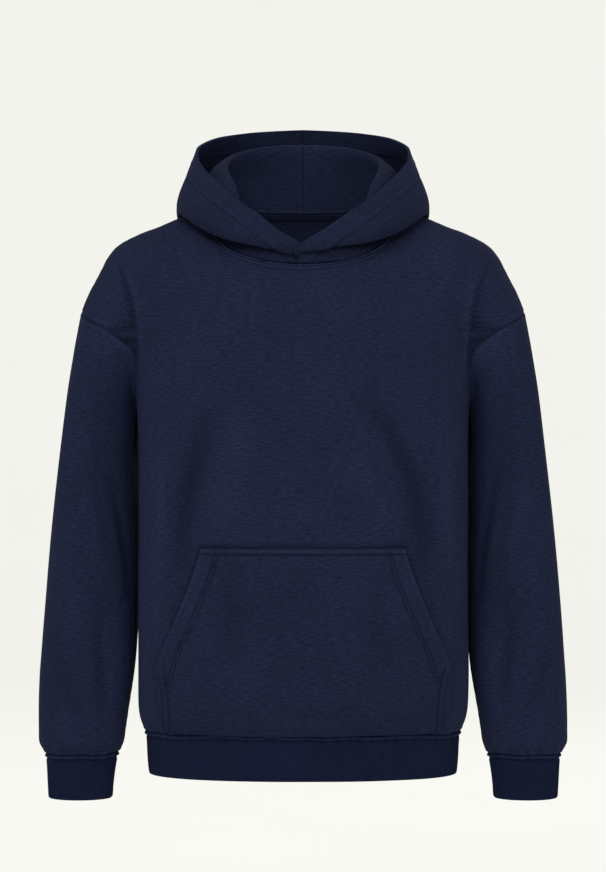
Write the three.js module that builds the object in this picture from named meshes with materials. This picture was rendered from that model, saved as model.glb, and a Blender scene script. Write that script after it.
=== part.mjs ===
// A pullover hoodie in heavy fleece, filled out and hollow, with its hood down and standing open.
// Millimetres, +Z up. The front faces -Y, the viewer's left is -X.
// The origin lies midway between the two points where the shoulder seams meet the neck.
// Every piece is a wall of cloth: an outer grid of points, an inner grid one thickness inside it, and the cut edges.

import * as THREE from "three";

// Cloth
const FLEECE = 2;
const HOOD_FLEECE = 2.2;
const RIB = 3;
const POCKET_FLEECE = 1.8;
const TAPE = 1;
const SEAM_GAP = 0.42;

// Heights of the main seams and ends
const HEM_SEAM = -638.5;
const HEM_DIP = 4;
const HEM_END = -694.5;
const CUFF_SEAM = -672;
const CUFF_END = -728;

// How finely each piece is divided
const ROWS_TO_ARM = 13;
const FIRST_ROW = 13;
const ROWS_IN_ARM = 12;
const FRONT_NECK_ROWS = 7;
const BACK_NECK_ROWS = 5;
const HALF_COLUMNS = 11;
const SLEEVE_ROWS = 13;
const LAST_RING = 0.972;
const CUFF_ROWS = 4;
const HEM_ROWS = 4;
const POCKET_COLUMNS = 14;

// The tape inside the back of the neck: its depth, and how far it stays from the neck seam and from the panel
const TAPE_DEPTH = 8;
const TAPE_TOP = 0.6;
const TAPE_CLEAR = 0.8;

// The body as level rings: half width at the side seam, depth before and behind it, and how square the ring is.
const BODY_RINGS = [
  { z: 15, side: 92, front: 3, back: 42, square: 2.0 },
  { z: 0, side: 118, front: 12, back: 57, square: 2.0 },
  { z: -10, side: 142, front: 23, back: 67, square: 2.0 },
  { z: -26, side: 180, front: 41, back: 79, square: 2.0 },
  { z: -45, side: 221, front: 60, back: 90, square: 2.0 },
  { z: -60, side: 233, front: 74, back: 96, square: 2.05 },
  { z: -76, side: 234, front: 87, back: 101, square: 2.1 },
  { z: -100, side: 226, front: 98, back: 107, square: 2.2 },
  { z: -128, side: 217, front: 106, back: 111, square: 2.3 },
  { z: -160, side: 210.5, front: 112, back: 114, square: 2.4 },
  { z: -200, side: 206.5, front: 118, back: 116, square: 2.45 },
  { z: -250, side: 203.6, front: 122, back: 117, square: 2.5 },
  { z: -311, side: 202, front: 125, back: 116, square: 2.5 },
  { z: -430, side: 202, front: 126, back: 114, square: 2.5 },
  { z: -540, side: 202.5, front: 126, back: 112, square: 2.5 },
  { z: -600, side: 202.5, front: 123, back: 109, square: 2.45 },
  { z: -618, side: 201.6, front: 118.5, back: 105.5, square: 2.4 },
  { z: -630, side: 199, front: 112, back: 100, square: 2.4 },
  { z: -640, side: 194.5, front: 105, back: 95, square: 2.4 },
  { z: -650, side: 192, front: 103.5, back: 93.5, square: 2.4 },
  { z: -675, side: 190.4, front: 102, back: 92.5, square: 2.4 },
  { z: -690, side: 189, front: 100.5, back: 91.5, square: 2.4 },
  { z: -697, side: 187.4, front: 99.5, back: 90.5, square: 2.4 },
];

// A sleeve as level rings: its outermost and innermost reach, the depth of its middle, half its depth front to back,
// and its lean, which brings the back of the ring nearer to the body so that it tucks in behind the side.
const SLEEVE_RINGS = [
  { z: -35, outer: 196, inner: 176, middle: 4, deep: 8, lean: 0 },
  { z: -55, outer: 226, inner: 168, middle: 5, deep: 32, lean: 0 },
  { z: -75, outer: 243.5, inner: 164, middle: 6, deep: 48, lean: 0.02 },
  { z: -100, outer: 259.5, inner: 166, middle: 8, deep: 60, lean: 0.05 },
  { z: -128, outer: 270.5, inner: 173, middle: 10, deep: 67, lean: 0.1 },
  { z: -160, outer: 276.5, inner: 183, middle: 12, deep: 72, lean: 0.15 },
  { z: -190, outer: 281, inner: 191, middle: 13, deep: 74.5, lean: 0.2 },
  { z: -220, outer: 285.8, inner: 197, middle: 15, deep: 75, lean: 0.24 },
  { z: -250, outer: 289.8, inner: 200, middle: 17, deep: 74.5, lean: 0.28 },
  { z: -300, outer: 296.1, inner: 202.6, middle: 20, deep: 73, lean: 0.3 },
  { z: -373, outer: 304.8, inner: 203, middle: 21, deep: 69, lean: 0.3 },
  { z: -446, outer: 312.5, inner: 203.6, middle: 21, deep: 65, lean: 0.28 },
  { z: -510, outer: 318.6, inner: 204.4, middle: 20, deep: 62, lean: 0.23 },
  { z: -550, outer: 322, inner: 206.4, middle: 18, deep: 60, lean: 0.14 },
  { z: -576, outer: 324, inner: 209.2, middle: 16, deep: 58, lean: 0.09 },
  { z: -612, outer: 325.7, inner: 215, middle: 14, deep: 54.5, lean: 0.03 },
  { z: -645, outer: 326, inner: 219.5, middle: 12, deep: 50, lean: 0 },
  { z: -660, outer: 325.2, inner: 221.5, middle: 11, deep: 46, lean: 0 },
  { z: -672, outer: 318, inner: 227, middle: 10, deep: 36, lean: 0 },
  { z: -682, outer: 316.4, inner: 229.5, middle: 10, deep: 32.5, lean: 0 },
  { z: -706, outer: 315, inner: 233, middle: 9, deep: 30.5, lean: 0 },
  { z: -731, outer: 313.6, inner: 235, middle: 9, deep: 29.5, lean: 0 },
];
const SLEEVE_SQUARE = 2.1;
const SLEEVE_TOP = -35;

// How widely the body and the sleeve run into one another at each height. Below the underarm they part.
const BLENDS = [
  { z: 0, width: 10 },
  { z: -50, width: 22 },
  { z: -100, width: 34 },
  { z: -140, width: 34 },
  { z: -172, width: 25 },
  { z: -205, width: 14 },
  { z: -235, width: 7 },
  { z: -256, width: 2.5 },
  { z: -275, width: 0.5 },
];

// The armhole from the underarm round to the shoulder point, before it is settled onto the cloth.
const ARMHOLE_FRONT = [
  { x: 202, y: 25, z: -254 },
  { x: 203, y: 12, z: -247 },
  { x: 204.5, y: -8, z: -232 },
  { x: 205.5, y: -30, z: -204 },
  { x: 209, y: -49, z: -176 },
  { x: 229, y: -58, z: -159 },
  { x: 250, y: -46, z: -146 },
  { x: 264, y: -24, z: -135 },
  { x: 271, y: 0, z: -128 },
];
const ARMHOLE_BACK = [
  { x: 202, y: 25, z: -254 },
  { x: 198.5, y: 41, z: -247 },
  { x: 195, y: 53, z: -231 },
  { x: 195, y: 66, z: -204 },
  { x: 203, y: 79, z: -178 },
  { x: 226, y: 85, z: -161 },
  { x: 250, y: 66, z: -146 },
  { x: 265, y: 34, z: -135 },
  { x: 271, y: 0, z: -128 },
];

// The shoulder seam from the neck to the shoulder point, and the neckline from the front middle to the back middle.
const SHOULDER_LINE = [
  { x: 113, y: 8, z: 2 },
  { x: 142, y: 7, z: -10 },
  { x: 180, y: 6, z: -26 },
  { x: 221, y: 4, z: -45 },
  { x: 241, y: 3, z: -65 },
  { x: 252, y: 2, z: -85 },
  { x: 261.5, y: 1, z: -105 },
  { x: 271, y: 0, z: -128 },
];
const NECK_FRONT = [
  { x: 0, y: -88, z: -76.5 },
  { x: 38, y: -85, z: -74 },
  { x: 71, y: -75, z: -65.5 },
  { x: 93, y: -61, z: -54 },
  { x: 106, y: -46, z: -39 },
  { x: 113, y: -22, z: -17 },
  { x: 113, y: 8, z: 2 },
];
const NECK_BACK = [
  { x: 0, y: 60, z: -2 },
  { x: 38, y: 57, z: -2 },
  { x: 72, y: 46, z: -1 },
  { x: 100, y: 29, z: 1 },
  { x: 113, y: 8, z: 2 },
];

// The hood. Each station runs from the neck seam to the rim: up the stand, over its crest, down into the bag that
// hangs behind, and up the outer wall. "at" is its place along the neckline: 0 front middle, 1 shoulder, 2 back middle.
const HOOD_STATIONS = [
  { at: 0, stand: [-1, -89.5, -73], crest: [-1, -91, -70.5], fall: [-2, -92.5, -68.5], near: [-2, -94, -66.5],
    bottom: [-2, -95, -64.5], far: [-3, -96, -62.5], wall: [-3, -96.5, -60], rim: [-4, -96.5, -58] },
  { at: 0.13, stand: [16, -89, -71.5], crest: [15, -90.5, -68.5], fall: [14, -92.5, -67], near: [12, -95, -66],
    bottom: [10, -97, -64], far: [8, -98.5, -61], wall: [6, -99, -56], rim: [2, -97.5, -52] },
  { at: 0.3, stand: [38, -86, -68], crest: [37, -88, -63], fall: [36, -91.5, -61.5], near: [35, -95, -61.5],
    bottom: [34, -98.5, -60.5], far: [32, -101, -56], wall: [29, -101.5, -48], rim: [24, -98, -39] },
  { at: 0.52, stand: [69, -76, -54], crest: [66.5, -80, -42], fall: [65, -86, -41.5], near: [64, -91, -47],
    bottom: [63, -96.5, -54.5], far: [62, -102, -47], wall: [60.5, -100.5, -32], rim: [57.5, -90.5, -13] },
  { at: 0.64, stand: [84, -63, -33], crest: [76.5, -60, -9], fall: [79, -69, -10], near: [80, -80, -32],
    bottom: [83, -89, -50], far: [86, -95.5, -38], wall: [85, -91, -17], rim: [81, -74, 5.5] },
  { at: 0.76, stand: [95, -49, -13], crest: [84, -40, 18], fall: [91, -45, 15], near: [99, -58, -14],
    bottom: [109, -72, -41], far: [114, -77, -26], wall: [112, -69, 0], rim: [106, -46, 28.5] },
  { at: 0.88, stand: [103, -27, 3], crest: [90, -18, 34], fall: [100, -18, 31], near: [115, -29, 2],
    bottom: [131, -45, -27], far: [136, -48, -10], wall: [131, -40, 17], rim: [119, -22, 43] },
  { at: 1.0, stand: [107, 2, 22], crest: [95, 5, 49], fall: [107, 8, 45], near: [129, 0, 14],
    bottom: [150, -10, -11], far: [152, -12, 6], wall: [141.5, -8, 38], rim: [129.5, 5, 60] },
  { at: 1.16, stand: [104, 22, 32], crest: [92, 26, 60], fall: [105, 32, 54], near: [131, 27, 16],
    bottom: [154, 22, -9.5], far: [156.5, 25, 1], wall: [142.5, 28, 42], rim: [132.5, 31, 73] },
  { at: 1.36, stand: [90, 39, 37], crest: [80, 45, 70], fall: [94, 54, 62], near: [124, 62, 12],
    bottom: [150, 68, -26], far: [156, 74, 0], wall: [144.5, 68, 46], rim: [127.5, 56, 83] },
  { at: 1.56, stand: [66, 53, 42], crest: [58, 60, 77.5], fall: [69, 77, 64], near: [94, 100, -2],
    bottom: [118, 112, -70], far: [130, 122, -28], wall: [124, 108, 36], rim: [107.5, 82, 95.5] },
  { at: 1.76, stand: [38, 60, 43], crest: [34, 67, 80.5], fall: [40, 90, 63], near: [54, 119, -24],
    bottom: [70, 137, -119], far: [82, 152, -62], wall: [86, 134, 24], rim: [76, 104, 103.5] },
  { at: 1.88, stand: [19, 61.5, 43], crest: [17, 69.5, 82], fall: [20, 94, 63], near: [28, 123, -34],
    bottom: [35, 144, -142], far: [42, 161, -76], wall: [45, 142, 16], rim: [40, 114, 107.5] },
  { at: 2.0, stand: [0, 62.5, 43], crest: [0, 70.5, 82.5], fall: [0, 96, 63], near: [0, 125, -38],
    bottom: [0, 147, -150], far: [0, 164, -82], wall: [0, 145, 14], rim: [0, 118, 109.5] },
];
// The lengths of cloth between the named points are divided into these many rows.
const HOOD_SPANS = [
  { to: "stand", rows: 1 },
  { to: "crest", rows: 2 },
  { to: "fall", rows: 2 },
  { to: "near", rows: 2 },
  { to: "bottom", rows: 2 },
  { to: "far", rows: 2 },
  { to: "wall", rows: 1 },
  { to: "rim", rows: 2 },
];
// At the front middle the half on +X laps over the other one, moved out by LAP_OUT, to LAP_END past the middle.
const LAP_END = -8;
const LAP_OUT = 5.6;
const LAP_RISE = 0.5;
const LAP_FADE = 70;
const LAP_RIM = [-9, -99, -65];

// The pocket from its foot at the hem seam to its top edge: half its width, and how far it stands off the panel
// along its side edge, where a hand goes in.
const POCKET_ROWS = [
  { z: -637, half: 166, edge: 0 },
  { z: -625, half: 166.2, edge: 0 },
  { z: -608, half: 166.6, edge: 0 },
  { z: -588, half: 168, edge: 0 },
  { z: -571, half: 171.8, edge: 0 },
  { z: -558, half: 174, edge: 0.6 },
  { z: -536, half: 166, edge: 2 },
  { z: -511, half: 154.5, edge: 2.6 },
  { z: -486, half: 144, edge: 2.6 },
  { z: -461, half: 134.5, edge: 2 },
  { z: -438, half: 127, edge: 1 },
  { z: -415, half: 120.5, edge: 0 },
];
const POCKET_LIFT = 1.5;
const POCKET_FULLNESS = 2.4;

const NAVY = 0x1f2539;
const NAVY_RIB = 0x161d30;
const CLOTH_ROUGHNESS = 0.95;

function smooth(table, z, column) {
  // Reads a column of a table at any height, with a smooth curve through its rows.
  const last = table.length - 1;
  let i = 0;
  while (i < last - 1 && z < table[i + 1].z) i += 1;
  const a = table[i];
  const b = table[i + 1];
  const span = b.z - a.z;
  const t = Math.min(1, Math.max(0, (z - a.z) / span));
  const before = table[Math.max(0, i - 1)];
  const after = table[Math.min(last, i + 2)];
  const slopeA = ((b[column] - before[column]) / (b.z - before.z)) * span;
  const slopeB = ((after[column] - a[column]) / (after.z - a.z)) * span;
  const t2 = t * t;
  const t3 = t2 * t;
  const fromA = (2 * t3 - 3 * t2 + 1) * a[column] + (t3 - 2 * t2 + t) * slopeA;
  return fromA + (3 * t2 - 2 * t3) * b[column] + (t3 - t2) * slopeB;
}

function bodyRing(z) {
  return {
    side: smooth(BODY_RINGS, z, "side"),
    front: smooth(BODY_RINGS, z, "front"),
    back: smooth(BODY_RINGS, z, "back"),
    square: smooth(BODY_RINGS, z, "square"),
  };
}

function sleeveRing(z) {
  const outer = smooth(SLEEVE_RINGS, z, "outer");
  const inner = smooth(SLEEVE_RINGS, z, "inner");
  const deep = smooth(SLEEVE_RINGS, z, "deep");
  const lean = smooth(SLEEVE_RINGS, z, "lean");
  const reach = (outer - inner) / 2;
  const wide = Math.sqrt(Math.max(1, reach * reach - lean * deep * lean * deep));
  return { x: (outer + inner) / 2, y: smooth(SLEEVE_RINGS, z, "middle"), wide, deep, lean };
}

function ringDistance(dx, dy, wide, deep, square) {
  // Roughly how far a point lies outside a rounded ring, negative inside it.
  const r = Math.pow(Math.pow(Math.abs(dx) / wide, square) + Math.pow(Math.abs(dy) / deep, square), 1 / square);
  return Math.hypot(dx, dy) * (1 - 1 / Math.max(r, 1e-6));
}

function bodyDistance(p) {
  const ring = bodyRing(p.z);
  return ringDistance(p.x, p.y, ring.side, p.y < 0 ? ring.front : ring.back, ring.square);
}

function sleeveDistance(p) {
  const ring = sleeveRing(p.z);
  const dy = p.y - ring.y;
  const above = 2 * Math.max(0, p.z - SLEEVE_TOP);
  return above + ringDistance(Math.abs(p.x) - ring.x + ring.lean * dy, dy, ring.wide, ring.deep, SLEEVE_SQUARE);
}

function clothDistance(p) {
  // The body and the sleeves as one smooth form. Its zero level is the outer face of the cloth.
  const body = bodyDistance(p);
  const sleeve = sleeveDistance(p);
  const width = smooth(BLENDS, p.z, "width");
  const share = Math.min(1, Math.max(0, 0.5 + (0.5 * (sleeve - body)) / width));
  return body * share + sleeve * (1 - share) - width * share * (1 - share);
}

function slope(p) {
  const step = 0.2;
  const gradient = new THREE.Vector3();
  for (const axis of ["x", "y", "z"]) {
    const ahead = p.clone();
    const behind = p.clone();
    ahead[axis] += step;
    behind[axis] -= step;
    gradient[axis] = (clothDistance(ahead) - clothDistance(behind)) / (2 * step);
  }
  return gradient;
}

function settle(p) {
  // Moves a nearby point onto the cloth.
  const q = p.clone();
  for (let round = 0; round < 12; round += 1) {
    const gradient = slope(q);
    q.addScaledVector(gradient, -clothDistance(q) / Math.max(gradient.lengthSq(), 0.05));
  }
  return q;
}

function outward(p) {
  return slope(p).normalize();
}

function firstFace(centre, toward) {
  // The first place where a level ray from inside the form leaves it.
  const step = 2;
  const direction = toward.clone().sub(centre).normalize();
  const at = (distance) => centre.clone().addScaledVector(direction, distance);
  let far = toward.distanceTo(centre) * 0.55;
  while (clothDistance(at(far)) < 0) far += step;
  let near = far - step;
  for (let round = 0; round < 24; round += 1) {
    const middle = (near + far) / 2;
    if (clothDistance(at(middle)) < 0) near = middle;
    else far = middle;
  }
  return at(far);
}

function vector(row) {
  return new THREE.Vector3(row.x, row.y, row.z);
}

function divide(points, count) {
  // Divides a smooth curve through the points into equal lengths.
  const curve = new THREE.CatmullRomCurve3(points, false, "centripetal");
  curve.arcLengthDivisions = 600;
  return curve.getSpacedPoints(count);
}

function settledCurve(rows, count) {
  return divide(rows.map(vector), count).map(settle);
}

function bodyPoint(turn, z) {
  // turn runs from 0 at the front middle over a quarter turn at the side to half a turn at the back middle.
  const ring = bodyRing(z);
  const across = Math.pow(Math.sin(turn), 2 / ring.square);
  const along = Math.pow(Math.abs(Math.cos(turn)), 2 / ring.square);
  const y = turn < Math.PI / 2 ? -ring.front * along : ring.back * along;
  return firstFace(new THREE.Vector3(0, 0, z), new THREE.Vector3(ring.side * across, y, z));
}

function turnOf(p) {
  const ring = bodyRing(p.z);
  const deep = p.y < 0 ? ring.front : ring.back;
  const across = Math.pow(Math.abs(p.x) / ring.side, ring.square / 2);
  const along = Math.pow(Math.abs(p.y) / deep, ring.square / 2);
  const turn = Math.atan2(across, along);
  return p.y < 0 ? turn : Math.PI - turn;
}

function sleevePoint(turn, z) {
  // turn runs from 0 at the underarm over half a turn at the outside, by way of the front.
  const ring = sleeveRing(z);
  const centre = new THREE.Vector3(ring.x, ring.y, z);
  const cos = Math.cos(turn);
  const sin = Math.sin(turn);
  const dy = -ring.deep * Math.sign(sin) * Math.pow(Math.abs(sin), 2 / SLEEVE_SQUARE);
  const dx = -ring.wide * Math.sign(cos) * Math.pow(Math.abs(cos), 2 / SLEEVE_SQUARE) - ring.lean * dy;
  return firstFace(centre, new THREE.Vector3(ring.x + dx, ring.y + dy, z));
}

function sleeveTurnOf(p) {
  const ring = sleeveRing(p.z);
  const dy = p.y - ring.y;
  const dx = p.x - ring.x + ring.lean * dy;
  const cos = -Math.sign(dx) * Math.pow(Math.abs(dx) / ring.wide, SLEEVE_SQUARE / 2);
  const sin = -Math.sign(dy) * Math.pow(Math.abs(dy) / ring.deep, SLEEVE_SQUARE / 2);
  return Math.atan2(sin, cos);
}

function mix(a, b, t) {
  return a + (b - a) * t;
}

// The curves that the pieces share, on +X. Each has the same points on both pieces that meet there.

const armFront = settledCurve(ARMHOLE_FRONT, ROWS_IN_ARM);
const armBack = settledCurve(ARMHOLE_BACK, ROWS_IN_ARM);
const shoulder = settledCurve(SHOULDER_LINE, HALF_COLUMNS);
const underarm = armFront[0];
armBack[0] = underarm;
armBack[ROWS_IN_ARM] = armFront[ROWS_IN_ARM];
shoulder[HALF_COLUMNS] = armFront[ROWS_IN_ARM];

function neckPoint(at) {
  // The neckline at any place along it, 0 at the front middle, 1 at the shoulder and 2 at the back middle.
  const rows = at <= 1 ? NECK_FRONT : NECK_BACK;
  const curve = new THREE.CatmullRomCurve3(rows.map(vector), false, "centripetal");
  return settle(curve.getPointAt(at <= 1 ? at : 2 - at));
}

const neckFront = [];
for (let i = 0; i <= FRONT_NECK_ROWS; i += 1) neckFront.push(neckPoint(i / FRONT_NECK_ROWS));
const neckBack = [];
for (let i = 0; i <= BACK_NECK_ROWS; i += 1) neckBack.push(neckPoint(2 - i / BACK_NECK_ROWS));
shoulder[0] = neckFront[FRONT_NECK_ROWS];
neckBack[BACK_NECK_ROWS] = shoulder[0];
for (const points of [neckFront, neckBack]) points[0].x = 0;

function hemHeight(turn) {
  // The hem seam dips a little at the sides.
  return HEM_SEAM - HEM_DIP * Math.sin(turn) ** 2;
}

function heightOfRow(i, turn) {
  // The rows of a panel from the hem seam to the underarm, with the first one kept close above the seam.
  const low = hemHeight(turn);
  if (i === 0) return low;
  return mix(low + FIRST_ROW, underarm.z, (i - 1) / (ROWS_TO_ARM - 1));
}

const sideTurn = turnOf(underarm);
const sideSeam = [];
for (let i = 0; i < ROWS_TO_ARM; i += 1) sideSeam.push(bodyPoint(sideTurn, heightOfRow(i, sideTurn)));

function middleLine(turn, neck) {
  // The middle of the front or back from the hem seam to the neckline, level with the side up to the underarm.
  const rows = ROWS_TO_ARM + ROWS_IN_ARM - (neck.length - 1);
  const line = [];
  for (let i = 0; i < rows; i += 1) {
    const high = mix(underarm.z, neck[0].z, (i - ROWS_TO_ARM) / (rows - ROWS_TO_ARM));
    const point = bodyPoint(turn, i < ROWS_TO_ARM ? heightOfRow(i, turn) : high);
    point.x = 0;
    line.push(point);
  }
  return line.concat(neck);
}

function halfPanel(middle, edge, top) {
  // A grid of points on the cloth between four curves: the hem seam, the side with its armhole, the shoulder seam,
  // and the middle with its neckline. Turns and heights are blended between the curves, then set on the cloth.
  const rows = middle.length - 1;
  const columns = top.length - 1;
  const place = (p) => ({ turn: turnOf(p), z: p.z });
  const left = middle.map(place);
  const right = edge.map(place);
  const over = top.map(place);
  const foot = top.map((p, j) => {
    const turn = mix(left[0].turn, right[0].turn, j / columns);
    return { turn, z: hemHeight(turn) };
  });
  const grid = [];
  for (let i = 0; i <= rows; i += 1) {
    const v = i / rows;
    const line = [];
    for (let j = 0; j <= columns; j += 1) {
      const u = j / columns;
      const blend = (column) => {
        const corners = mix(
          mix(foot[0][column], foot[columns][column], u),
          mix(over[0][column], over[columns][column], u),
          v,
        );
        return mix(left[i][column], right[i][column], u) + mix(foot[j][column], over[j][column], v) - corners;
      };
      line.push(bodyPoint(blend("turn"), blend("z")));
    }
    line[0] = middle[i];
    line[columns] = edge[i];
    grid.push(line);
  }
  grid[rows] = top.slice();
  return grid;
}

function sheetOf(grid, normalAt, around) {
  // A sheet of cloth: its points, the normal at each, and its four-sided faces, which wind about that normal.
  const count = grid[0].length;
  const columns = around ? count : count - 1;
  const points = grid.flat();
  const faces = [];
  for (let i = 0; i < grid.length - 1; i += 1) {
    for (let j = 0; j < columns; j += 1) {
      const next = (j + 1) % count;
      faces.push([i * count + j, i * count + next, (i + 1) * count + next, (i + 1) * count + j]);
    }
  }
  const sheet = { points, faces, normals: [] };
  sheet.normals = normalAt ? points.map(normalAt) : faceNormals(sheet);
  return woundOutward(sheet);
}

function faceNormal(sheet, face) {
  const [a, b, c, d] = face.map((k) => sheet.points[k]);
  return new THREE.Vector3().crossVectors(c.clone().sub(a), d.clone().sub(b));
}

function faceNormals(sheet) {
  const normals = sheet.points.map(() => new THREE.Vector3());
  for (const face of sheet.faces) {
    const normal = faceNormal(sheet, face);
    for (const k of face) normals[k].add(normal);
  }
  return normals.map((normal) => normal.normalize());
}

function woundOutward(sheet) {
  let agreement = 0;
  for (const face of sheet.faces) agreement += faceNormal(sheet, face).dot(sheet.normals[face[0]]);
  if (agreement < 0) sheet.faces = sheet.faces.map((face) => face.slice().reverse());
  return sheet;
}

function mirrored(p) {
  return new THREE.Vector3(-p.x, p.y, p.z);
}

function mirroredSheet(sheet) {
  return {
    points: sheet.points.map(mirrored),
    normals: sheet.normals.map(mirrored),
    faces: sheet.faces.map((face) => face.slice().reverse()),
  };
}

function joined(a, b) {
  // Joins two sheets where their points meet.
  const key = (p) => [p.x, p.y, p.z].map((value) => Math.round(value * 1000)).join(",");
  const sheet = { points: [], normals: [], faces: [] };
  const seen = new Map();
  for (const part of [a, b]) {
    const renumber = part.points.map((p, k) => {
      if (!seen.has(key(p))) {
        seen.set(key(p), sheet.points.length);
        sheet.points.push(p);
        sheet.normals.push(part.normals[k].clone());
      }
      return seen.get(key(p));
    });
    for (const face of part.faces) sheet.faces.push(face.map((k) => renumber[k]));
  }
  return sheet;
}

function cutEdges(sheet) {
  // The edges that only one face has, each as the pair of its points in that face's winding.
  const once = new Map();
  for (const face of sheet.faces) {
    for (const [i, a] of face.entries()) {
      const b = face[(i + 1) % face.length];
      if (once.has(`${b},${a}`)) once.delete(`${b},${a}`);
      else once.set(`${a},${b}`, [a, b]);
    }
  }
  return [...once.values()];
}

function seamMoves(sheet, edges) {
  // Draws every cut edge back by its half of the gap at a seam, square to the edge and within the cloth.
  const inwards = new Map();
  for (const [a, b] of edges) {
    const along = sheet.points[b].clone().sub(sheet.points[a]);
    for (const k of [a, b]) {
      const inward = new THREE.Vector3().crossVectors(sheet.normals[k], along).normalize();
      if (!inwards.has(k)) inwards.set(k, []);
      inwards.get(k).push(inward);
    }
  }
  const moves = new Map();
  for (const [k, [first, second]] of inwards) {
    const share = SEAM_GAP / 2 / Math.max(0.3, 1 + first.dot(second));
    moves.set(k, first.clone().add(second).multiplyScalar(share));
  }
  return moves;
}

function wall(sheet, thickness) {
  // A closed body with the sheet as its outer face, the given thickness of cloth inside it, and its cut edges.
  const edges = cutEdges(sheet);
  const moves = seamMoves(sheet, edges);
  const none = new THREE.Vector3();
  const outer = sheet.points.map((p, k) => p.clone().add(moves.get(k) ?? none));
  const inner = outer.map((p, k) => p.clone().addScaledVector(sheet.normals[k], -thickness));
  const positions = [...outer, ...inner].flatMap((p) => [p.x, p.y, p.z]);
  const layer = outer.length;
  const triangles = [];
  const quad = (a, b, c, d) => triangles.push(a, b, c, a, c, d);
  for (const [a, b, c, d] of sheet.faces) {
    quad(a, b, c, d);
    quad(layer + a, layer + d, layer + c, layer + b);
  }
  for (const [a, b] of edges) quad(b, a, layer + a, layer + b);
  const geometry = new THREE.BufferGeometry();
  geometry.setAttribute("position", new THREE.Float32BufferAttribute(positions, 3));
  geometry.setIndex(triangles);
  geometry.computeVertexNormals();
  return geometry;
}

function piece(name, sheet, thickness, color) {
  const material = new THREE.MeshStandardMaterial({ color, roughness: CLOTH_ROUGHNESS, metalness: 0 });
  const mesh = new THREE.Mesh(wall(sheet, thickness), material);
  mesh.name = name;
  return mesh;
}

// The pieces

function frontHalf() {
  return halfPanel(middleLine(0, neckFront), sideSeam.concat(armFront), shoulder);
}

function backHalf() {
  return halfPanel(middleLine(Math.PI, neckBack), sideSeam.concat(armBack), shoulder);
}

function middleJoined(half) {
  // A half that ends on the middle plane, joined with its mirror image.
  for (const [k, p] of half.points.entries()) {
    if (p.x === 0) half.normals[k].setX(0).normalize();
  }
  return joined(half, mirroredSheet(half));
}

function panelSheet(half) {
  return middleJoined(sheetOf(half, outward, false));
}

function hemSheet() {
  // The rib below the hem seam, a tube with the same points round it as the two panels above it.
  const quarter = (half) => half[0].map(turnOf);
  const turns = quarter(frontGrid).concat(quarter(backGrid).reverse().slice(1));
  const lines = [];
  for (let i = 0; i <= HEM_ROWS; i += 1) {
    const right = turns.map((turn) => bodyPoint(turn, mix(hemHeight(turn), HEM_END, i / HEM_ROWS)));
    right[0].x = 0;
    right[right.length - 1].x = 0;
    lines.push(right.concat(right.slice(1, -1).reverse().map(mirrored)));
  }
  return sheetOf(lines, outward, true);
}

function sleeveGrid() {
  // Rings of a sleeve from the armhole down to the cuff seam, each starting at the underarm and passing the front.
  const top = armFront.concat(armBack.slice(1, -1).reverse());
  const turns = top.map((p, k) => {
    const turn = sleeveTurnOf(p);
    return k > ROWS_IN_ARM && turn < 0 ? turn + 2 * Math.PI : turn;
  });
  turns[0] = 0;
  const grid = [top];
  for (let i = 1; i <= SLEEVE_ROWS; i += 1) {
    const t = i === SLEEVE_ROWS ? 1 : (LAST_RING * i) / (SLEEVE_ROWS - 1);
    const even = Math.min(1, t * 1.6);
    const ring = top.map((p, k) => {
      const turn = mix(turns[k], (k * 2 * Math.PI) / top.length, even);
      return sleevePoint(turn, mix(p.z, CUFF_SEAM, t));
    });
    grid.push(ring);
  }
  return grid;
}

function cuffGrid(seam) {
  // The cuff continues the sleeve from its last ring, with the same points round it.
  const grid = [seam];
  for (let i = 1; i <= CUFF_ROWS; i += 1) {
    const z = mix(CUFF_SEAM, CUFF_END, i / CUFF_ROWS);
    grid.push(seam.map((p) => sleevePoint(sleeveTurnOf(p), z)));
  }
  return grid;
}

function hoodLine(values) {
  return new THREE.CatmullRomCurve3(values.map((value) => new THREE.Vector3(...value)), false, "centripetal");
}

function stationValue(column, at) {
  // The place of a named point of the hood at any place along the neckline.
  const last = HOOD_STATIONS.length - 1;
  let i = 0;
  while (i < last - 1 && at > HOOD_STATIONS[i + 1].at) i += 1;
  const t = (at - HOOD_STATIONS[i].at) / (HOOD_STATIONS[i + 1].at - HOOD_STATIONS[i].at);
  return hoodLine(HOOD_STATIONS.map((station) => station[column])).getPoint((i + t) / last);
}

function hoodSection(at, seamPoint) {
  // One row of points from the neck seam to the rim.
  const named = [seamPoint];
  for (const span of HOOD_SPANS) named.push(stationValue(span.to, at));
  const curve = new THREE.CatmullRomCurve3(named, false, "centripetal");
  const line = [];
  for (const [s, span] of HOOD_SPANS.entries()) {
    for (let k = 0; k < span.rows; k += 1) line.push(curve.getPoint((s + k / span.rows) / HOOD_SPANS.length));
  }
  line.push(curve.getPoint(1));
  line[0] = seamPoint;
  return line;
}

function hoodGrid() {
  // Two rows of cloth for each stretch of the neckline. The rows between sit midway along the seam, so that the
  // hood and the body keep the same edge.
  const places = neckFront.map((p, i) => ({ at: i / FRONT_NECK_ROWS, seam: p }));
  const behind = neckBack.slice(0, -1).map((p, i) => ({ at: 2 - i / BACK_NECK_ROWS, seam: p }));
  places.push(...behind.reverse());
  const grid = [];
  for (const [i, place] of places.entries()) {
    grid.push(hoodSection(place.at, place.seam));
    if (i + 1 < places.length) {
      const next = places[i + 1];
      grid.push(hoodSection((place.at + next.at) / 2, place.seam.clone().add(next.seam).multiplyScalar(0.5)));
    }
  }
  for (const p of grid[grid.length - 1]) p.x = 0;
  return grid;
}

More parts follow.
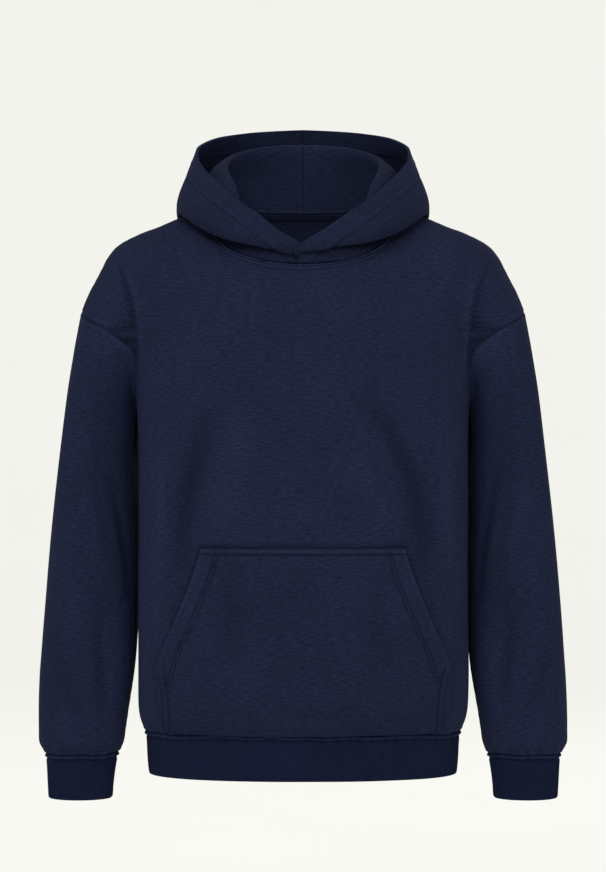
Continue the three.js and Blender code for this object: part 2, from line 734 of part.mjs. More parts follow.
function hoodSheet(grid) {
  // The outer face of the hood carries on from the body's, so its seam edge takes the body's normals. The middle
  // seam behind stays in the middle plane.
  const sheet = sheetOf(grid.slice().reverse(), null, false);
  for (const [k, p] of sheet.points.entries()) {
    if (k % grid[0].length === 0) sheet.normals[k].copy(outward(p));
    if (p.x === 0) sheet.normals[k].setX(0).normalize();
  }
  return sheet;
}

function overlapped(grid) {
  // The half that laps over the other at the front middle: moved out there, and carried on past the middle.
  const outNormal = new THREE.Vector3(0, -1, 0.4).normalize();
  const grown = grid.map((line) => line.map((p) => {
    const fade = p.y < 0 ? Math.max(0, 1 - Math.abs(p.x) / LAP_FADE) : 0;
    const moved = p.clone().addScaledVector(outNormal, LAP_OUT * Math.min(1, 2 * fade));
    return fade > 0 ? moved.setZ(moved.z + LAP_RISE) : moved;
  }));
  const foot = grown[0][0].clone().setX(LAP_END);
  const tip = new THREE.Vector3(...LAP_RIM).addScaledVector(outNormal, LAP_OUT);
  const last = grown[0].length - 1;
  const end = grown[0].map((p, k) => foot.clone().lerp(tip, k / last));
  return [end, ...grown];
}

function pocketSheet() {
  // The pocket lies on the front panel, a little fuller in its middle and slightly open at the two hand openings.
  const grid = POCKET_ROWS.map((row) => {
    const line = [];
    for (let j = 0; j <= POCKET_COLUMNS; j += 1) {
      const across = (2 * j) / POCKET_COLUMNS - 1;
      const p = onFront(across * row.half, row.z);
      const full = Math.min(1, row.edge / 2) * (1 - across * across) * POCKET_FULLNESS;
      line.push(p.addScaledVector(outward(p), POCKET_LIFT + POCKET_FLEECE + row.edge * Math.abs(across) ** 4 + full));
    }
    return line;
  });
  return sheetOf(grid, (p) => outward(p), false);
}

function onFront(x, z) {
  // The place on the front of the cloth behind a point of the front view.
  let y = -bodyRing(z).front * 1.3;
  const p = new THREE.Vector3(x, y, z);
  while (clothDistance(p) > 0) p.y += 1;
  for (let step = 0.5; step > 1e-4; step /= 2) p.y += clothDistance(p) > 0 ? step : -step;
  return p;
}

function tapeSheet() {
  // The tape inside the back of the neck. It lies against the back panel, just below the neck seam.
  const panelTop = backGrid.length - 1;
  const grid = neckBack.slice(0, -1).map((seam, i) => {
    const row = panelTop - BACK_NECK_ROWS + i;
    const below = i === 0 ? backGrid[row - 1][0] : backGrid[row][1];
    const down = below.clone().sub(seam).normalize();
    const inside = outward(seam).multiplyScalar(-(FLEECE + TAPE_CLEAR));
    return [TAPE_TOP, TAPE_TOP + TAPE_DEPTH].map((depth) => seam.clone().addScaledVector(down, depth).add(inside));
  });
  return middleJoined(sheetOf(grid, outward, false));
}

const frontGrid = frontHalf();
const backGrid = backHalf();

const group = new THREE.Group();
group.add(piece("front_panel", panelSheet(frontGrid), FLEECE, NAVY));
group.add(piece("back_panel", panelSheet(backGrid), FLEECE, NAVY));
group.add(piece("hem_rib", hemSheet(), RIB, NAVY_RIB));
group.add(piece("pocket", pocketSheet(), POCKET_FLEECE, NAVY));
group.add(piece("neck_tape", tapeSheet(), TAPE, NAVY_RIB));

const sleeve = sleeveGrid();
const sleeveSheet = sheetOf(sleeve, outward, true);
const cuffSheet = sheetOf(cuffGrid(sleeve[SLEEVE_ROWS]), outward, true);
group.add(piece("sleeve_right", sleeveSheet, FLEECE, NAVY));
group.add(piece("sleeve_left", mirroredSheet(sleeveSheet), FLEECE, NAVY));
group.add(piece("cuff_right", cuffSheet, RIB, NAVY_RIB));
group.add(piece("cuff_left", mirroredSheet(cuffSheet), RIB, NAVY_RIB));

const hood = hoodGrid();
const underHood = hood.map((line) => line.map((p) => p.clone().setX(Math.max(0, p.x))));
group.add(piece("hood_left", mirroredSheet(hoodSheet(underHood)), HOOD_FLEECE, NAVY));
group.add(piece("hood_right", hoodSheet(overlapped(hood)), HOOD_FLEECE, NAVY));

export default group;
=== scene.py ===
import math

import bpy
import numpy as np
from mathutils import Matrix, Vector
from mathutils.bvhtree import BVHTree
from mathutils.kdtree import KDTree


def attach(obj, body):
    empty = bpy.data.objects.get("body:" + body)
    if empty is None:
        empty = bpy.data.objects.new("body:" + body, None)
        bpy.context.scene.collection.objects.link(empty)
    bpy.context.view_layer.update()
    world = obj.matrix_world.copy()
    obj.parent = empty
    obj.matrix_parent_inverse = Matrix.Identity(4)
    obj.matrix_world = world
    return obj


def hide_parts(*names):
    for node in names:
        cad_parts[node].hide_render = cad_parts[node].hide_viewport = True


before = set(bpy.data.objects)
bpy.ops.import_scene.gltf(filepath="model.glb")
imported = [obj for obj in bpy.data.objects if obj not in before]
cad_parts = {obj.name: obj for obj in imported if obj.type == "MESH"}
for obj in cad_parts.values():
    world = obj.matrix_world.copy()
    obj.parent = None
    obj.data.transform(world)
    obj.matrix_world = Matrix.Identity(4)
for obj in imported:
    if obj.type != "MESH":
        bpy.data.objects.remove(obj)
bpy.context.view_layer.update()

# A navy fleece pullover hoodie. Lengths are millimetres here and become metres when a mesh is made. The
# form is the one the solids have: level rings of the body and of a sleeve run into one another, and the
# hood is drawn through named points. On it lie the cloth's own creases, seams, ribs and stitches.

MILLIMETRE = 0.001
# Thickness of the cloth, and how much thicker the hood's hem is
FLEECE = 2.0
HOOD_FLEECE = 2.2
HEM_EXTRA = 1.6
RIB = 3.0
POCKET_FLEECE = 1.5
TAPE = 1.0

# Heights of the main seams and ends, the depth of the hood's hem, and the tape
HEM_SEAM = -638.5
HEM_DIP = 4.0
HEM_END = -694.5
CUFF_SEAM = -672.0
CUFF_END = -728.0
HOOD_HEM = 25.0
TAPE_START = 1.2
TAPE_DEPTH = 9.5
TAPE_TOP = 0.6
TAPE_LINES = 9
TAPE_DOWN = 4
TAPE_CLEAR = 0.8

# Rows of the solids' own grids, which give the pieces their proportions
ROWS_TO_ARM = 13
ROWS_IN_ARM = 12
PANEL_ROWS = ROWS_TO_ARM + ROWS_IN_ARM
FIRST_ROW = 13.0
FRONT_NECK_ROWS = 7
BACK_NECK_ROWS = 5

# How finely the cloth is divided here
CLOTH_STEP = 4.2
HOOD_STEP = 4.6
POCKET_STEP = 3.2
SEAM_LINES = (0.7, 1.7, 3.0, 4.6, 6.6)
NECK_LINES = (0.6, 1.3, 2.1, 2.9, 3.7, 4.5, 5.3, 6.2, 7.2, 8.4)
RIB_START_LINES = (0, 0.7, 1.5, 2.5, 3.5, 4.6, 5.8, 7.2, 9.0)
RIB_END_LINES = (2.4, 1.2, 0.5, 0)
HEM_EDGE_LINES = (-3.5, -2, -1, 0, 1, 2, 3.5)
RIM_LINES = (0.8, 2.0, 4.0)
POCKET_TOP_LINES = (0, 1, 2.5, 4, 5.2, 6, 6.8, 7.6, 9)
POCKET_SIDE_LINES = (
    0, 0.8, 2, 3.5, 5, 6.2, 7.2, 8.6, 10.5, 12.5, 14.5, 16, 17.2, 18.6, 20, 21.4, 22.8, 25, 27.5,
)
RIB_PITCH = 3.4
RIB_STEP = 4
RIB_CLEAR = 0.02
POINTS_IN_RIB = 6
PANEL_WIDTH = 330.0
PANEL_HEIGHT = 640.0
MIDDLE_RISE = 890.0
SLEEVE_LENGTH = 540.0
SLEEVE_COLUMNS = 110
SLEEVE_LEVELS_AT = 1.6
HEM_GIRTH = 960.0
CUFF_GIRTH = 235.0
HOOD_PLACES = 100
TAPE_PLACES = 40
EDGE_STEPS = 4

# How the form is searched: rays from inside it, rays through the front view, and steps onto it
RAY_START = 0.55
RAY_STEP = 2.0
RAY_TRIALS = 130
RAY_HALVINGS = 24
VIEW_REACH = 175.0
VIEW_DEPTH = 330.0
VIEW_STEP = 1.5
VIEW_HALVINGS = 16
SLOPE_STEP = 0.2
SETTLE_ROUNDS = 12
NOT_NEAR = 1e3

# Cut edges: how round they are at a seam and where they are free, and how far the seams at the ribs wander
SEAM_BULGE = 0.2
FREE_BULGE = 0.85
HEM_WAVE = 1.6
CUFF_WAVE = 0.8
WAVE_REACH = 16
HEM_HALF = 194.0
HEM_STEADY = 22
LEVEL_RADIUS = 150.0

# Creases fade out at their ends, and reach this many widths to each side
CREASE_FADE = 0.7
CREASE_SPREAD = 2.6
HOOD_CREASE_SPREAD = (3, 8)

# Slow unevenness of the cloth: how high it is and how long its waves are
BODY_UNEVEN = (0.9, 70)
RIB_UNEVEN = (0.7, 70)
HOOD_UNEVEN = (0.9, 48)

# The cloth beside its seams. Each row is a soft ridge or dip: its height, its distance from the seam and
# its width.
PLAIN_SEAM = [(-1.0, 0, 1.5), (0.35, 3.6, 1.8)]
NECK_SEAM = [(-1.2, 0, 0.8), (1.7, 1.8, 1.0), (1.6, 5.3, 1.1), (-1.2, 3.6, 0.8), (-1.0, 7.5, 1.2)]
RIB_SEAM = [(-1.0, 0, 0.9), (1.6, 2.8, 1.4), (-0.9, 6.2, 1.7)]
UNDER_POCKET = [(-1.4, 0.5, 3.4)]
HOOD_HEM_SEAM = [(-0.9, HOOD_HEM, 1.3), (0.4, HOOD_HEM - 4, 2.5)]
POCKET_SEAM = [(-1.0, 7.2, 1.5)]
HAND_SEAMS = [(-0.75, 17.6, 1.2), (-0.75, 21.8, 1.2)]
POCKET_FLAT = [(-1.1, 0, 4.0)]
HAND_ROUND = [(0.45, 9, 6)]
SEAM_REACH = 16

# Gathers along a seam: their length, how it changes, and how far from the seam they lie and reach
GATHER_LENGTH = 2.3
GATHER_CHANGE = 1.5
GATHER_CHANGE_LENGTH = 9.0
GATHER_PLACE = (4, 5)

# How much the cloth puckers beside each seam
HEM_PUCKER = 0.6
NECK_PUCKER = 0.12
SIDE_PUCKER = 0.2
SHOULDER_PUCKER = 0.1
SLEEVE_PUCKERS = (0.15, 0.15, 0.5, 0.1)
RIB_PUCKER = 0.35
HOOD_NECK_PUCKER = 0.15
HOOD_MIDDLE_PUCKER = 0.12

# Ribs: the height of a rib and of its sharper crown, where they begin below the seam, and how the folded
# end turns in
RIB_HEIGHT = 0.34
RIB_CROWN = 0.08
RIB_BARE = 6
RIB_FADE = 3
RIB_END_FADE = 1.5
RIB_END_SHARE = 0.35
RIB_TURN_IN = 1.6
RIB_TURN_DEPTH = 4.0

# Painted shade and light: how much lighter or darker the cloth is painted for a millimetre of relief,
# at the sides, inside and under the hood, and the painted shadows under the hood's edge
SEAM_SHADE = 0.26
CREASE_SHADE = 0.075
HOOD_CREASE_SHADE = 0.11
SHADE_RANGE = (0.3, 1.6)
SIDE_LIGHT = 0.36
SIDE_X = 200.0
SIDE_TOP = -150.0
SIDE_FADE = 45
SIDE_TOP_FADE = 60
SLEEVE_LIGHT = 0.8
SLEEVE_FADE = 50
SLEEVE_BACK = 40
INNER_LIGHT = 1.35
RIB_RIDGE_HIGHLIGHT = [(0.4, 2.9, 1.4)]
POCKET_SEWN_EDGE_LIGHT_AND_SHADE = [(-0.9, -0.5, 1.2), (0.75, 3.2, 1.7)]
POCKET_HAND_EDGE_LIGHT_AND_SHADE = [(0.95, 2.6, 1.9), (-0.9, -0.5, 1.0)]
POCKET_STITCH_SHADE = 1.4
HOOD_OUTSIDE_SHADE = 0.91
HOOD_INSIDE_SHADE = 0.8
INNER_MIDDLE_SHADE = [(-0.3, 0, 1.4), (0.1, 3.4, 1.5)]
DENT_SHADE = 0.17
UNDER_HOOD_LIGHT = 1.08
UNDER_SHARE = 0.62
UNDER_FADE = 0.04
LOWEST_SHARE = 0.625
TUCK_SHARE = 0.6
TUCK_FADE = 0.03
TUCK_REACH = 3.6
TUCK_SHADE = 0.66
UNDER_EDGE_SHADE = 0.55
UNDER_EDGE_WIDTH = 3.6

# Stitches
STITCH_PITCH = 3.4
STITCH_LENGTH = 2.7
STITCH_SEARCH = 9
THREAD_RADIUS = 0.34
THREAD_STANDS = 0.7
THREAD_SIDES = 3
NECK_STITCHES = (3.6, 7.2)
ROW_PLACES = 60
TOP_ROW_SHORT = 10
HAND_ROW_SHORT = (9, 20)
SIDE_ROW_SHORT = (6, 3)
HAND_STITCHES = (18.8, 23.3)
POCKET_TOP_STITCH = 7.2
POCKET_SIDE_STITCH = 4.0
ROWS_AT_LAP = 9
RIM_STITCH = HOOD_HEM - 0.8
RIM_REACH = HOOD_HEM + 12

# Base colours, and the tint of the nap
FLEECE_COLOUR = (0.0085, 0.0113, 0.0283)
RIB_COLOUR = (0.0051, 0.0076, 0.0216)
TAPE_COLOUR = (0.0095, 0.0130, 0.0330)
THREAD_COLOUR = (0.0044, 0.0062, 0.0180)
NAVY_SHEEN = (0.45, 0.55, 1.0)
STUDIO_COLOUR = (0.30, 0.30, 0.288)
STUDIO_GLOW = (1.0, 1.0, 0.955)
GLOW_STRENGTH = 0.615
WORLD_COLOUR = (1, 1, 0.985)
WORLD_STRENGTH = 0.8

# Length of one wave of the wave texture at a scale of 1
WAVE_LENGTH = 0.314

# Noises of the looks: where most of a noise lies, how it is stretched across the cloth, and what it does
NOISE_SPAN = (0.3, 0.7)
STREAKS = (110.0, 560.0, 1.0)
THREADS = (110.0, 800.0, 1.0)
GRAIN_SCALE = 520.0
FADING_SCALE = 9.0
FADING = (0.92, 1.09)
EDGE_SPAN = (0.5, 0.56)
EDGE_LIGHT = 1.12

# Camera and room, in metres
CAMERA_BACK = 3.0
CAMERA_HEIGHT = -0.282
CAMERA_LENS = 100.69
FLOOR_HEIGHT = -1.05
ROOM_MIDDLE = 0.001
ROOM_RADIUS = 8.0
ROOM_BEND = 3.0
ROOM_TOP = 9.0
ROOM_SIDES = 64
BEND_STEPS = 12

# The lights: place, what they aim at, size of their sides, in metres, and power in watts
LIGHTS = {
    "key": ((-1.3, -2.5, 2.0), (0, 0, -0.1), 1.8, 62),
    "fill": ((1.6, -3.0, 1.0), (0, 0, -0.2), 1.6, 24),
    "front": ((0, -3.3, 0.0), (0, 0, -0.3), 1.2, 16),
    "back": ((0.8, 3.0, 1.4), (0, 0, -0.2), 1.8, 18),
}


def table(names, rows):
    return dict(zip(names, np.array(rows, float).T))


BODY_RINGS = table(("z", "side", "front", "back", "square"), [
    (15, 92, 3, 42, 2.0),
    (0, 118, 12, 57, 2.0),
    (-10, 142, 23, 67, 2.0),
    (-26, 180, 41, 79, 2.0),
    (-45, 221, 60, 90, 2.0),
    (-60, 233, 74, 96, 2.05),
    (-76, 234, 87, 101, 2.1),
    (-100, 226, 98, 107, 2.2),
    (-128, 217, 106, 111, 2.3),
    (-160, 210.5, 112, 114, 2.4),
    (-200, 206.5, 118, 116, 2.45),
    (-250, 203.6, 122, 117, 2.5),
    (-311, 202, 125, 116, 2.5),
    (-430, 202, 126, 114, 2.5),
    (-540, 202.5, 126, 112, 2.5),
    (-600, 202.5, 123, 109, 2.45),
    (-618, 201.6, 118.5, 105.5, 2.4),
    (-630, 199, 112, 100, 2.4),
    (-640, 194.5, 105, 95, 2.4),
    (-650, 192, 103.5, 93.5, 2.4),
    (-675, 190.4, 102, 92.5, 2.4),
    (-690, 189, 100.5, 91.5, 2.4),
    (-697, 187.4, 99.5, 90.5, 2.4),
])
SLEEVE_RINGS = table(("z", "outer", "inner", "middle", "deep", "lean"), [
    (-35, 196, 176, 4, 8, 0),
    (-55, 226, 168, 5, 32, 0),
    (-75, 243.5, 164, 6, 48, 0.02),
    (-100, 259.5, 166, 8, 60, 0.05),
    (-128, 270.5, 173, 10, 67, 0.1),
    (-160, 276.5, 183, 12, 72, 0.15),
    (-190, 281, 191, 13, 74.5, 0.2),
    (-220, 285.8, 197, 15, 75, 0.24),
    (-250, 289.8, 200, 17, 74.5, 0.28),
    (-300, 296.1, 202.6, 20, 73, 0.3),
    (-373, 304.8, 203, 21, 69, 0.3),
    (-446, 312.5, 203.6, 21, 65, 0.28),
    (-510, 318.6, 204.4, 20, 62, 0.23),
    (-550, 322, 206.4, 18, 60, 0.14),
    (-576, 324, 209.2, 16, 58, 0.09),
    (-612, 325.7, 215, 14, 54.5, 0.03),
    (-645, 326, 219.5, 12, 50, 0),
    (-660, 325.2, 221.5, 11, 46, 0),
    (-672, 318, 227, 10, 36, 0),
    (-682, 316.4, 229.5, 10, 32.5, 0),
    (-706, 315, 233, 9, 30.5, 0),
    (-731, 313.6, 235, 9, 29.5, 0),
])
SLEEVE_SQUARE = 2.1
SLEEVE_TOP = -35.0
BLENDS = table(("z", "width"), [
    (0, 10), (-50, 22), (-100, 34), (-140, 34), (-172, 25), (-205, 14), (-235, 7), (-256, 2.5), (-275, 0.5),
])

ARMHOLE_FRONT = [
    (202, 25, -254), (203, 12, -247), (204.5, -8, -232), (205.5, -30, -204), (209, -49, -176),
    (229, -58, -159), (250, -46, -146), (264, -24, -135), (271, 0, -128),
]
ARMHOLE_BACK = [
    (202, 25, -254), (198.5, 41, -247), (195, 53, -231), (195, 66, -204), (203, 79, -178),
    (226, 85, -161), (250, 66, -146), (265, 34, -135), (271, 0, -128),
]
SHOULDER_LINE = [
    (113, 8, 2), (142, 7, -10), (180, 6, -26), (221, 4, -45), (241, 3, -65), (252, 2, -85), (261.5, 1, -105),
    (271, 0, -128),
]
NECK_FRONT = [
    (0, -88, -76.5), (38, -85, -74), (71, -75, -65.5), (93, -61, -54), (106, -46, -39), (113, -22, -17),
    (113, 8, 2),
]
NECK_BACK = [(0, 60, -2), (38, 57, -2), (72, 46, -1), (100, 29, 1), (113, 8, 2)]

# Each station of the hood: its place along the neckline, then stand, crest, fall, near, bottom, far, wall
# and rim.
HOOD_STATIONS = [
    (0, (-1, -89.5, -73), (-1, -91, -70.5), (-2, -92.5, -68.5), (-2, -94, -66.5),
     (-2, -95, -64.5), (-3, -96, -62.5), (-3, -96.5, -60), (-4, -96.5, -58)),
    (0.13, (16, -89, -71.5), (15, -90.5, -68.5), (14, -92.5, -67), (12, -95, -66),
     (10, -97, -64), (8, -98.5, -61), (6, -99, -56), (2, -97.5, -52)),
    (0.3, (38, -86, -68), (37, -88, -63), (36, -91.5, -61.5), (35, -95, -61.5),
     (34, -98.5, -60.5), (32, -101, -56), (29, -101.5, -48), (24, -98, -39)),
    (0.52, (69, -76, -54), (66.5, -80, -42), (65, -86, -41.5), (64, -91, -47),
     (63, -96.5, -54.5), (62, -102, -47), (60.5, -100.5, -32), (57.5, -90.5, -13)),
    (0.64, (84, -63, -33), (76.5, -60, -9), (79, -69, -10), (80, -80, -32),
     (83, -89, -50), (86, -95.5, -38), (85, -91, -17), (81, -74, 5.5)),
    (0.76, (95, -49, -13), (84, -40, 18), (91, -45, 15), (99, -58, -14),
     (109, -72, -41), (114, -77, -26), (112, -69, 0), (106, -46, 28.5)),
    (0.88, (103, -27, 3), (90, -18, 34), (100, -18, 31), (115, -29, 2),
     (131, -45, -27), (136, -48, -10), (131, -40, 17), (119, -22, 43)),
    (1.0, (107, 2, 22), (95, 5, 49), (107, 8, 45), (129, 0, 14),
     (150, -10, -11), (152, -12, 6), (141.5, -8, 38), (129.5, 5, 60)),
    (1.16, (104, 22, 32), (92, 26, 60), (105, 32, 54), (131, 27, 16),
     (154, 22, -9.5), (156.5, 25, 1), (142.5, 28, 42), (132.5, 31, 73)),
    (1.36, (90, 39, 37), (80, 45, 70), (94, 54, 62), (124, 62, 12),
     (150, 68, -26), (156, 74, 0), (144.5, 68, 46), (127.5, 56, 83)),
    (1.56, (66, 53, 42), (58, 60, 77.5), (69, 77, 64), (94, 100, -2),
     (118, 112, -70), (130, 122, -28), (124, 108, 36), (107.5, 82, 95.5)),
    (1.76, (38, 60, 43), (34, 67, 80.5), (40, 90, 63), (54, 119, -24),
     (70, 137, -119), (82, 152, -62), (86, 134, 24), (76, 104, 103.5)),
    (1.88, (19, 61.5, 43), (17, 69.5, 82), (20, 94, 63), (28, 123, -34),
     (35, 144, -142), (42, 161, -76), (45, 142, 16), (40, 114, 107.5)),
    (2.0, (0, 62.5, 43), (0, 70.5, 82.5), (0, 96, 63), (0, 125, -38),
     (0, 147, -150), (0, 164, -82), (0, 145, 14), (0, 118, 109.5)),
]
HOOD_SPANS = 8
LAP_END = -8.0
LAP_OUT = 5.6
LAP_RISE = 0.5
LAP_FADE = 70.0
LAP_RIM = (-9, -99, -65)
LAP_NORMAL = (0, -1, 0.4)
LAP_STRIPS = (0, 0.2, 0.45, 0.7)
HOOD_PROBE = 1.7
PROBE_POINTS = 900
LINE_CLEAR = 1.6

POCKET_ROWS = table(("z", "half", "edge"), [
    (-637, 166, 0), (-625, 166.2, 0), (-608, 166.6, 0), (-588, 168, 0), (-571, 171.8, 0), (-558, 174, 0.6),
    (-536, 166, 2), (-511, 154.5, 2.6), (-486, 144, 2.6), (-461, 134.5, 2), (-438, 127, 1), (-415, 120.5, 0),
])
CORNER_HEIGHT = -558.0
CORNER_HALF = 174.0
POCKET_TURN = 22.0
POCKET_HALF = 150.0
POCKET_INNER = 29
POCKET_LEAN = 0.374
POCKET_CLEAR = 3.3
POCKET_FULLNESS = 2.4
FULL_EDGE = 2

# Creases on the front of the cloth: the width and depth of each, and places that it passes through, as x
# and z of the front view. A trough has a depth below zero, a ridge one above it.
FRONT_CREASES = [
    (15, -4.6, [(-104, -236), (-120, -276), (-134, -335), (-146, -400), (-150, -450)]),
    (14, -4.4, [(54, -232), (92, -262), (116, -300), (134, -345), (143, -400), (148, -450)]),
    (22, 2.4, [(-60, -240), (-82, -320), (-96, -400)]),
    (20, 2.2, [(40, -290), (84, -350), (108, -410)]),
    (12, 1.8, [(-168, -300), (-172, -380), (-176, -460)]),
    (12, 1.7, [(170, -290), (174, -380), (178, -450)]),
    (3.2, -4.8, [(-226, -70), (-217, -93), (-209, -119), (-205, -154), (-203, -196)]),
    (3.2, -4.6, [(226, -72), (217, -94), (209, -120), (205, -155), (203, -198)]),
    (5, 2.4, [(-214, -80), (-207, -98), (-200, -124), (-197, -160), (-195, -210)]),
    (5, 2.3, [(214, -82), (207, -100), (200, -126), (197, -162), (195, -212)]),
    (3.4, 1.5, [(-247, -138), (-250, -172), (-252, -212)]),
    (3.4, 1.6, [(251, -136), (253, -176), (255, -216)]),
    (4, -0.9, [(-242, -150), (-243, -180), (-244, -205)]),
    (4, -0.9, [(245, -150), (247, -182), (248, -208)]),
    (9, -3.4, [(-236, -320), (-226, -370), (-217, -430), (-214, -490)]),
    (9, -3.2, [(238, -312), (229, -366), (219, -432), (215, -488)]),
    (12, 1.8, [(-268, -330), (-252, -400), (-244, -470)]),
    (12, 1.7, [(270, -322), (255, -398), (247, -470)]),
    (9, -2.2, [(-252, -500), (-244, -560), (-240, -620)]),
    (9, -2.3, [(256, -492), (246, -556), (241, -616)]),
    (8, -1.7, [(-304, -540), (-288, -590), (-264, -630)]),
    (8, -1.8, [(302, -532), (286, -588), (265, -626)]),
    (9, -1.4, [(-60, -585), (-20, -606), (30, -612), (70, -600)]),
    (7, -2.2, [(-184, -540), (-180, -590), (-174, -632)]),
    (7, -2.2, [(185, -535), (180, -588), (174, -630)]),
    (16, -2.0, [(-90, -430), (-84, -500), (-96, -560)]),
    (15, -2.0, [(96, -440), (88, -505), (98, -565)]),
]
BACK_CREASES = [
    (18, -2.6, [(-90, -230), (-118, -310), (-140, -400)]),
    (18, -2.4, [(84, -250), (112, -320), (138, -410)]),
    (22, 1.6, [(-10, -330), (-24, -430), (-20, -520)]),
    (6, -4.5, [(-205, -110), (-199, -160), (-197, -215)]),
    (6, -4.2, [(205, -112), (199, -164), (197, -218)]),
    (14, -1.6, [(-100, -560), (-40, -590), (40, -586), (96, -566)]),
    (10, -2.2, [(-256, -260), (-246, -330), (-236, -400)]),
    (10, -2.0, [(258, -270), (247, -336), (238, -404)]),
    (9, -1.8, [(-270, -540), (-256, -590), (-250, -630)]),
    (9, -1.8, [(272, -530), (258, -584), (250, -628)]),
]

# Small folds that fan out from the lap of the hood, and soft troughs on its back: the half that has it,
# then the width, the depth and the places.
HOOD_CREASES = [
    ("right", 3.0, -3.0, [(4, -99, -52), (24, -99, -57), (46, -94, -56)]),
    ("right", 2.6, -2.4, [(6, -98, -62), (26, -96, -66), (46, -90, -66)]),
    ("right", 4.5, 1.8, [(14, -100, -50), (36, -100, -45), (58, -95, -36)]),
    ("left", 3.0, -2.4, [(12, -98, -58), (30, -96, -60), (52, -90, -56)]),
    ("both", 13, -2.4, [(60, 140, -60), (100, 125, -20), (128, 100, 20)]),
    ("both", 14, -2.2, [(16, 158, -60), (40, 150, -20), (60, 135, 30)]),
]

# Soft dents in the hood: middle, size and depth. The first four show on its inside.
DENTS = [
    ((-54, 60, 44), 30, 3.8),
    ((62, 60, 46), 28, 3.6),
    ((-96, 60, 20), 22, -2.2),
    ((100, 66, 10), 22, -2.4),
    ((-60, 150, -40), 30, -4.0),
    ((66, 148, -30), 28, -3.6),
]
INNER_DENTS = 4

# The lowest edge of the hood where it stands over the front, as x and z of the front view. A painted shadow
# # lies under it on the front panel.
HOOD_EDGE = [(63, -57), (83, -53), (109, -44.5), (131, -31), (150, -17)]


# The form

def smooth(rings, z, column):
    # Reads a column of a table at any height, with a smooth curve through its rows.
    zs = rings["z"]
    values = rings[column]
    last = len(zs) - 1
    i = np.clip(np.searchsorted(-zs[1:], -z, side="left"), 0, last - 1)
    span = zs[i + 1] - zs[i]
    t = np.clip((z - zs[i]) / span, 0, 1)
    before = np.maximum(0, i - 1)
    after = np.minimum(last, i + 2)
    slope_a = (values[i + 1] - values[before]) / (zs[i + 1] - zs[before]) * span
    slope_b = (values[after] - values[i]) / (zs[after] - zs[i]) * span
    t2 = t * t
    t3 = t2 * t
    from_a = (2 * t3 - 3 * t2 + 1) * values[i] + (t3 - 2 * t2 + t) * slope_a
    return from_a + (3 * t2 - 2 * t3) * values[i + 1] + (t3 - t2) * slope_b


def rings_at(z):
    # Everything the distance to the cloth needs to know at given heights.
    rings = {name: smooth(BODY_RINGS, z, name) for name in ("side", "front", "back", "square")}
    sleeve = {name: smooth(SLEEVE_RINGS, z, name) for name in ("outer", "inner", "middle", "deep", "lean")}
    reach = (sleeve["outer"] - sleeve["inner"]) / 2
    lean = sleeve["lean"]
    deep = sleeve["deep"]
    rings["arm_x"] = (sleeve["outer"] + sleeve["inner"]) / 2
    rings["arm_y"] = sleeve["middle"]
    rings["arm_wide"] = np.sqrt(np.maximum(1, reach ** 2 - (lean * deep) ** 2))
    rings["arm_deep"] = deep
    rings["lean"] = lean
    rings["above"] = 2 * np.maximum(0, z - SLEEVE_TOP)
    rings["blend"] = smooth(BLENDS, z, "width")
    return rings


def ring_distance(dx, dy, wide, deep, square):
    r = (np.abs(dx / wide) ** square + np.abs(dy / deep) ** square) ** (1 / square)
    return np.hypot(dx, dy) * (1 - 1 / np.maximum(r, 1e-6))


def distance_in(rings, x, y):
    # Distance outside the cloth, the body and the sleeves as one smooth form.
    body = ring_distance(x, y, rings["side"], np.where(y < 0, rings["front"], rings["back"]), rings["square"])
    dy = y - rings["arm_y"]
    dx = np.abs(x) - rings["arm_x"] + rings["lean"] * dy
    sleeve = rings["above"] + ring_distance(dx, dy, rings["arm_wide"], rings["arm_deep"], SLEEVE_SQUARE)
    width = rings["blend"]
    share = np.clip(0.5 + 0.5 * (sleeve - body) / width, 0, 1)
    return body * share + sleeve * (1 - share) - width * share * (1 - share)


def cloth_distance(p):
    return distance_in(rings_at(p[..., 2]), p[..., 0], p[..., 1])


def slope(p):
    gradient = np.zeros_like(p)
    for axis in range(3):
        move = np.zeros(3)
        move[axis] = SLOPE_STEP
        gradient[..., axis] = (cloth_distance(p + move) - cloth_distance(p - move)) / (2 * SLOPE_STEP)
    return gradient


def settle(p):
    # Moves nearby points onto the cloth.
    q = np.array(p, float)
    for _ in range(SETTLE_ROUNDS):
        gradient = slope(q)
        size = np.maximum((gradient ** 2).sum(-1, keepdims=True), 0.05)
        q = q - gradient * cloth_distance(q)[..., None] / size
    return q


def unit(v):
    return v / np.maximum(np.linalg.norm(v, axis=-1, keepdims=True), 1e-9)


def outward(p):
    return unit(slope(p))


def first_face(cx, cy, tx, ty, z):
    # The first place where level rays from inside the form leave it.
    rings = rings_at(z)
    long = {name: value[..., None] for name, value in rings.items()}
    reach = np.hypot(tx - cx, ty - cy)
    ux = (tx - cx) / reach
    uy = (ty - cy) / reach
    trial = RAY_START * reach[..., None] + RAY_STEP * np.arange(RAY_TRIALS)
    trial_x = cx[..., None] + ux[..., None] * trial
    trial_y = cy[..., None] + uy[..., None] * trial
    outside = distance_in(long, trial_x, trial_y) >= 0
    far = np.take_along_axis(trial, np.argmax(outside, -1)[..., None], -1)[..., 0]
    near = far - RAY_STEP
    for _ in range(RAY_HALVINGS):
        middle = (near + far) / 2
        inside = distance_in(rings, cx + ux * middle, cy + uy * middle) < 0
        near = np.where(inside, middle, near)
        far = np.where(inside, far, middle)
    return np.stack([cx + ux * far, cy + uy * far, z], -1)


def body_point(turn, z):
    # turn runs from 0 at the front middle over a quarter turn at the side to half a turn at the back
    # middle.
    rings = rings_at(z)
    across = np.abs(np.sin(turn)) ** (2 / rings["square"])
    along = np.abs(np.cos(turn)) ** (2 / rings["square"])
    y = np.where(turn < math.pi / 2, -rings["front"] * along, rings["back"] * along)
    zero = np.zeros_like(z)
    return first_face(zero, zero, rings["side"] * across, y, z)


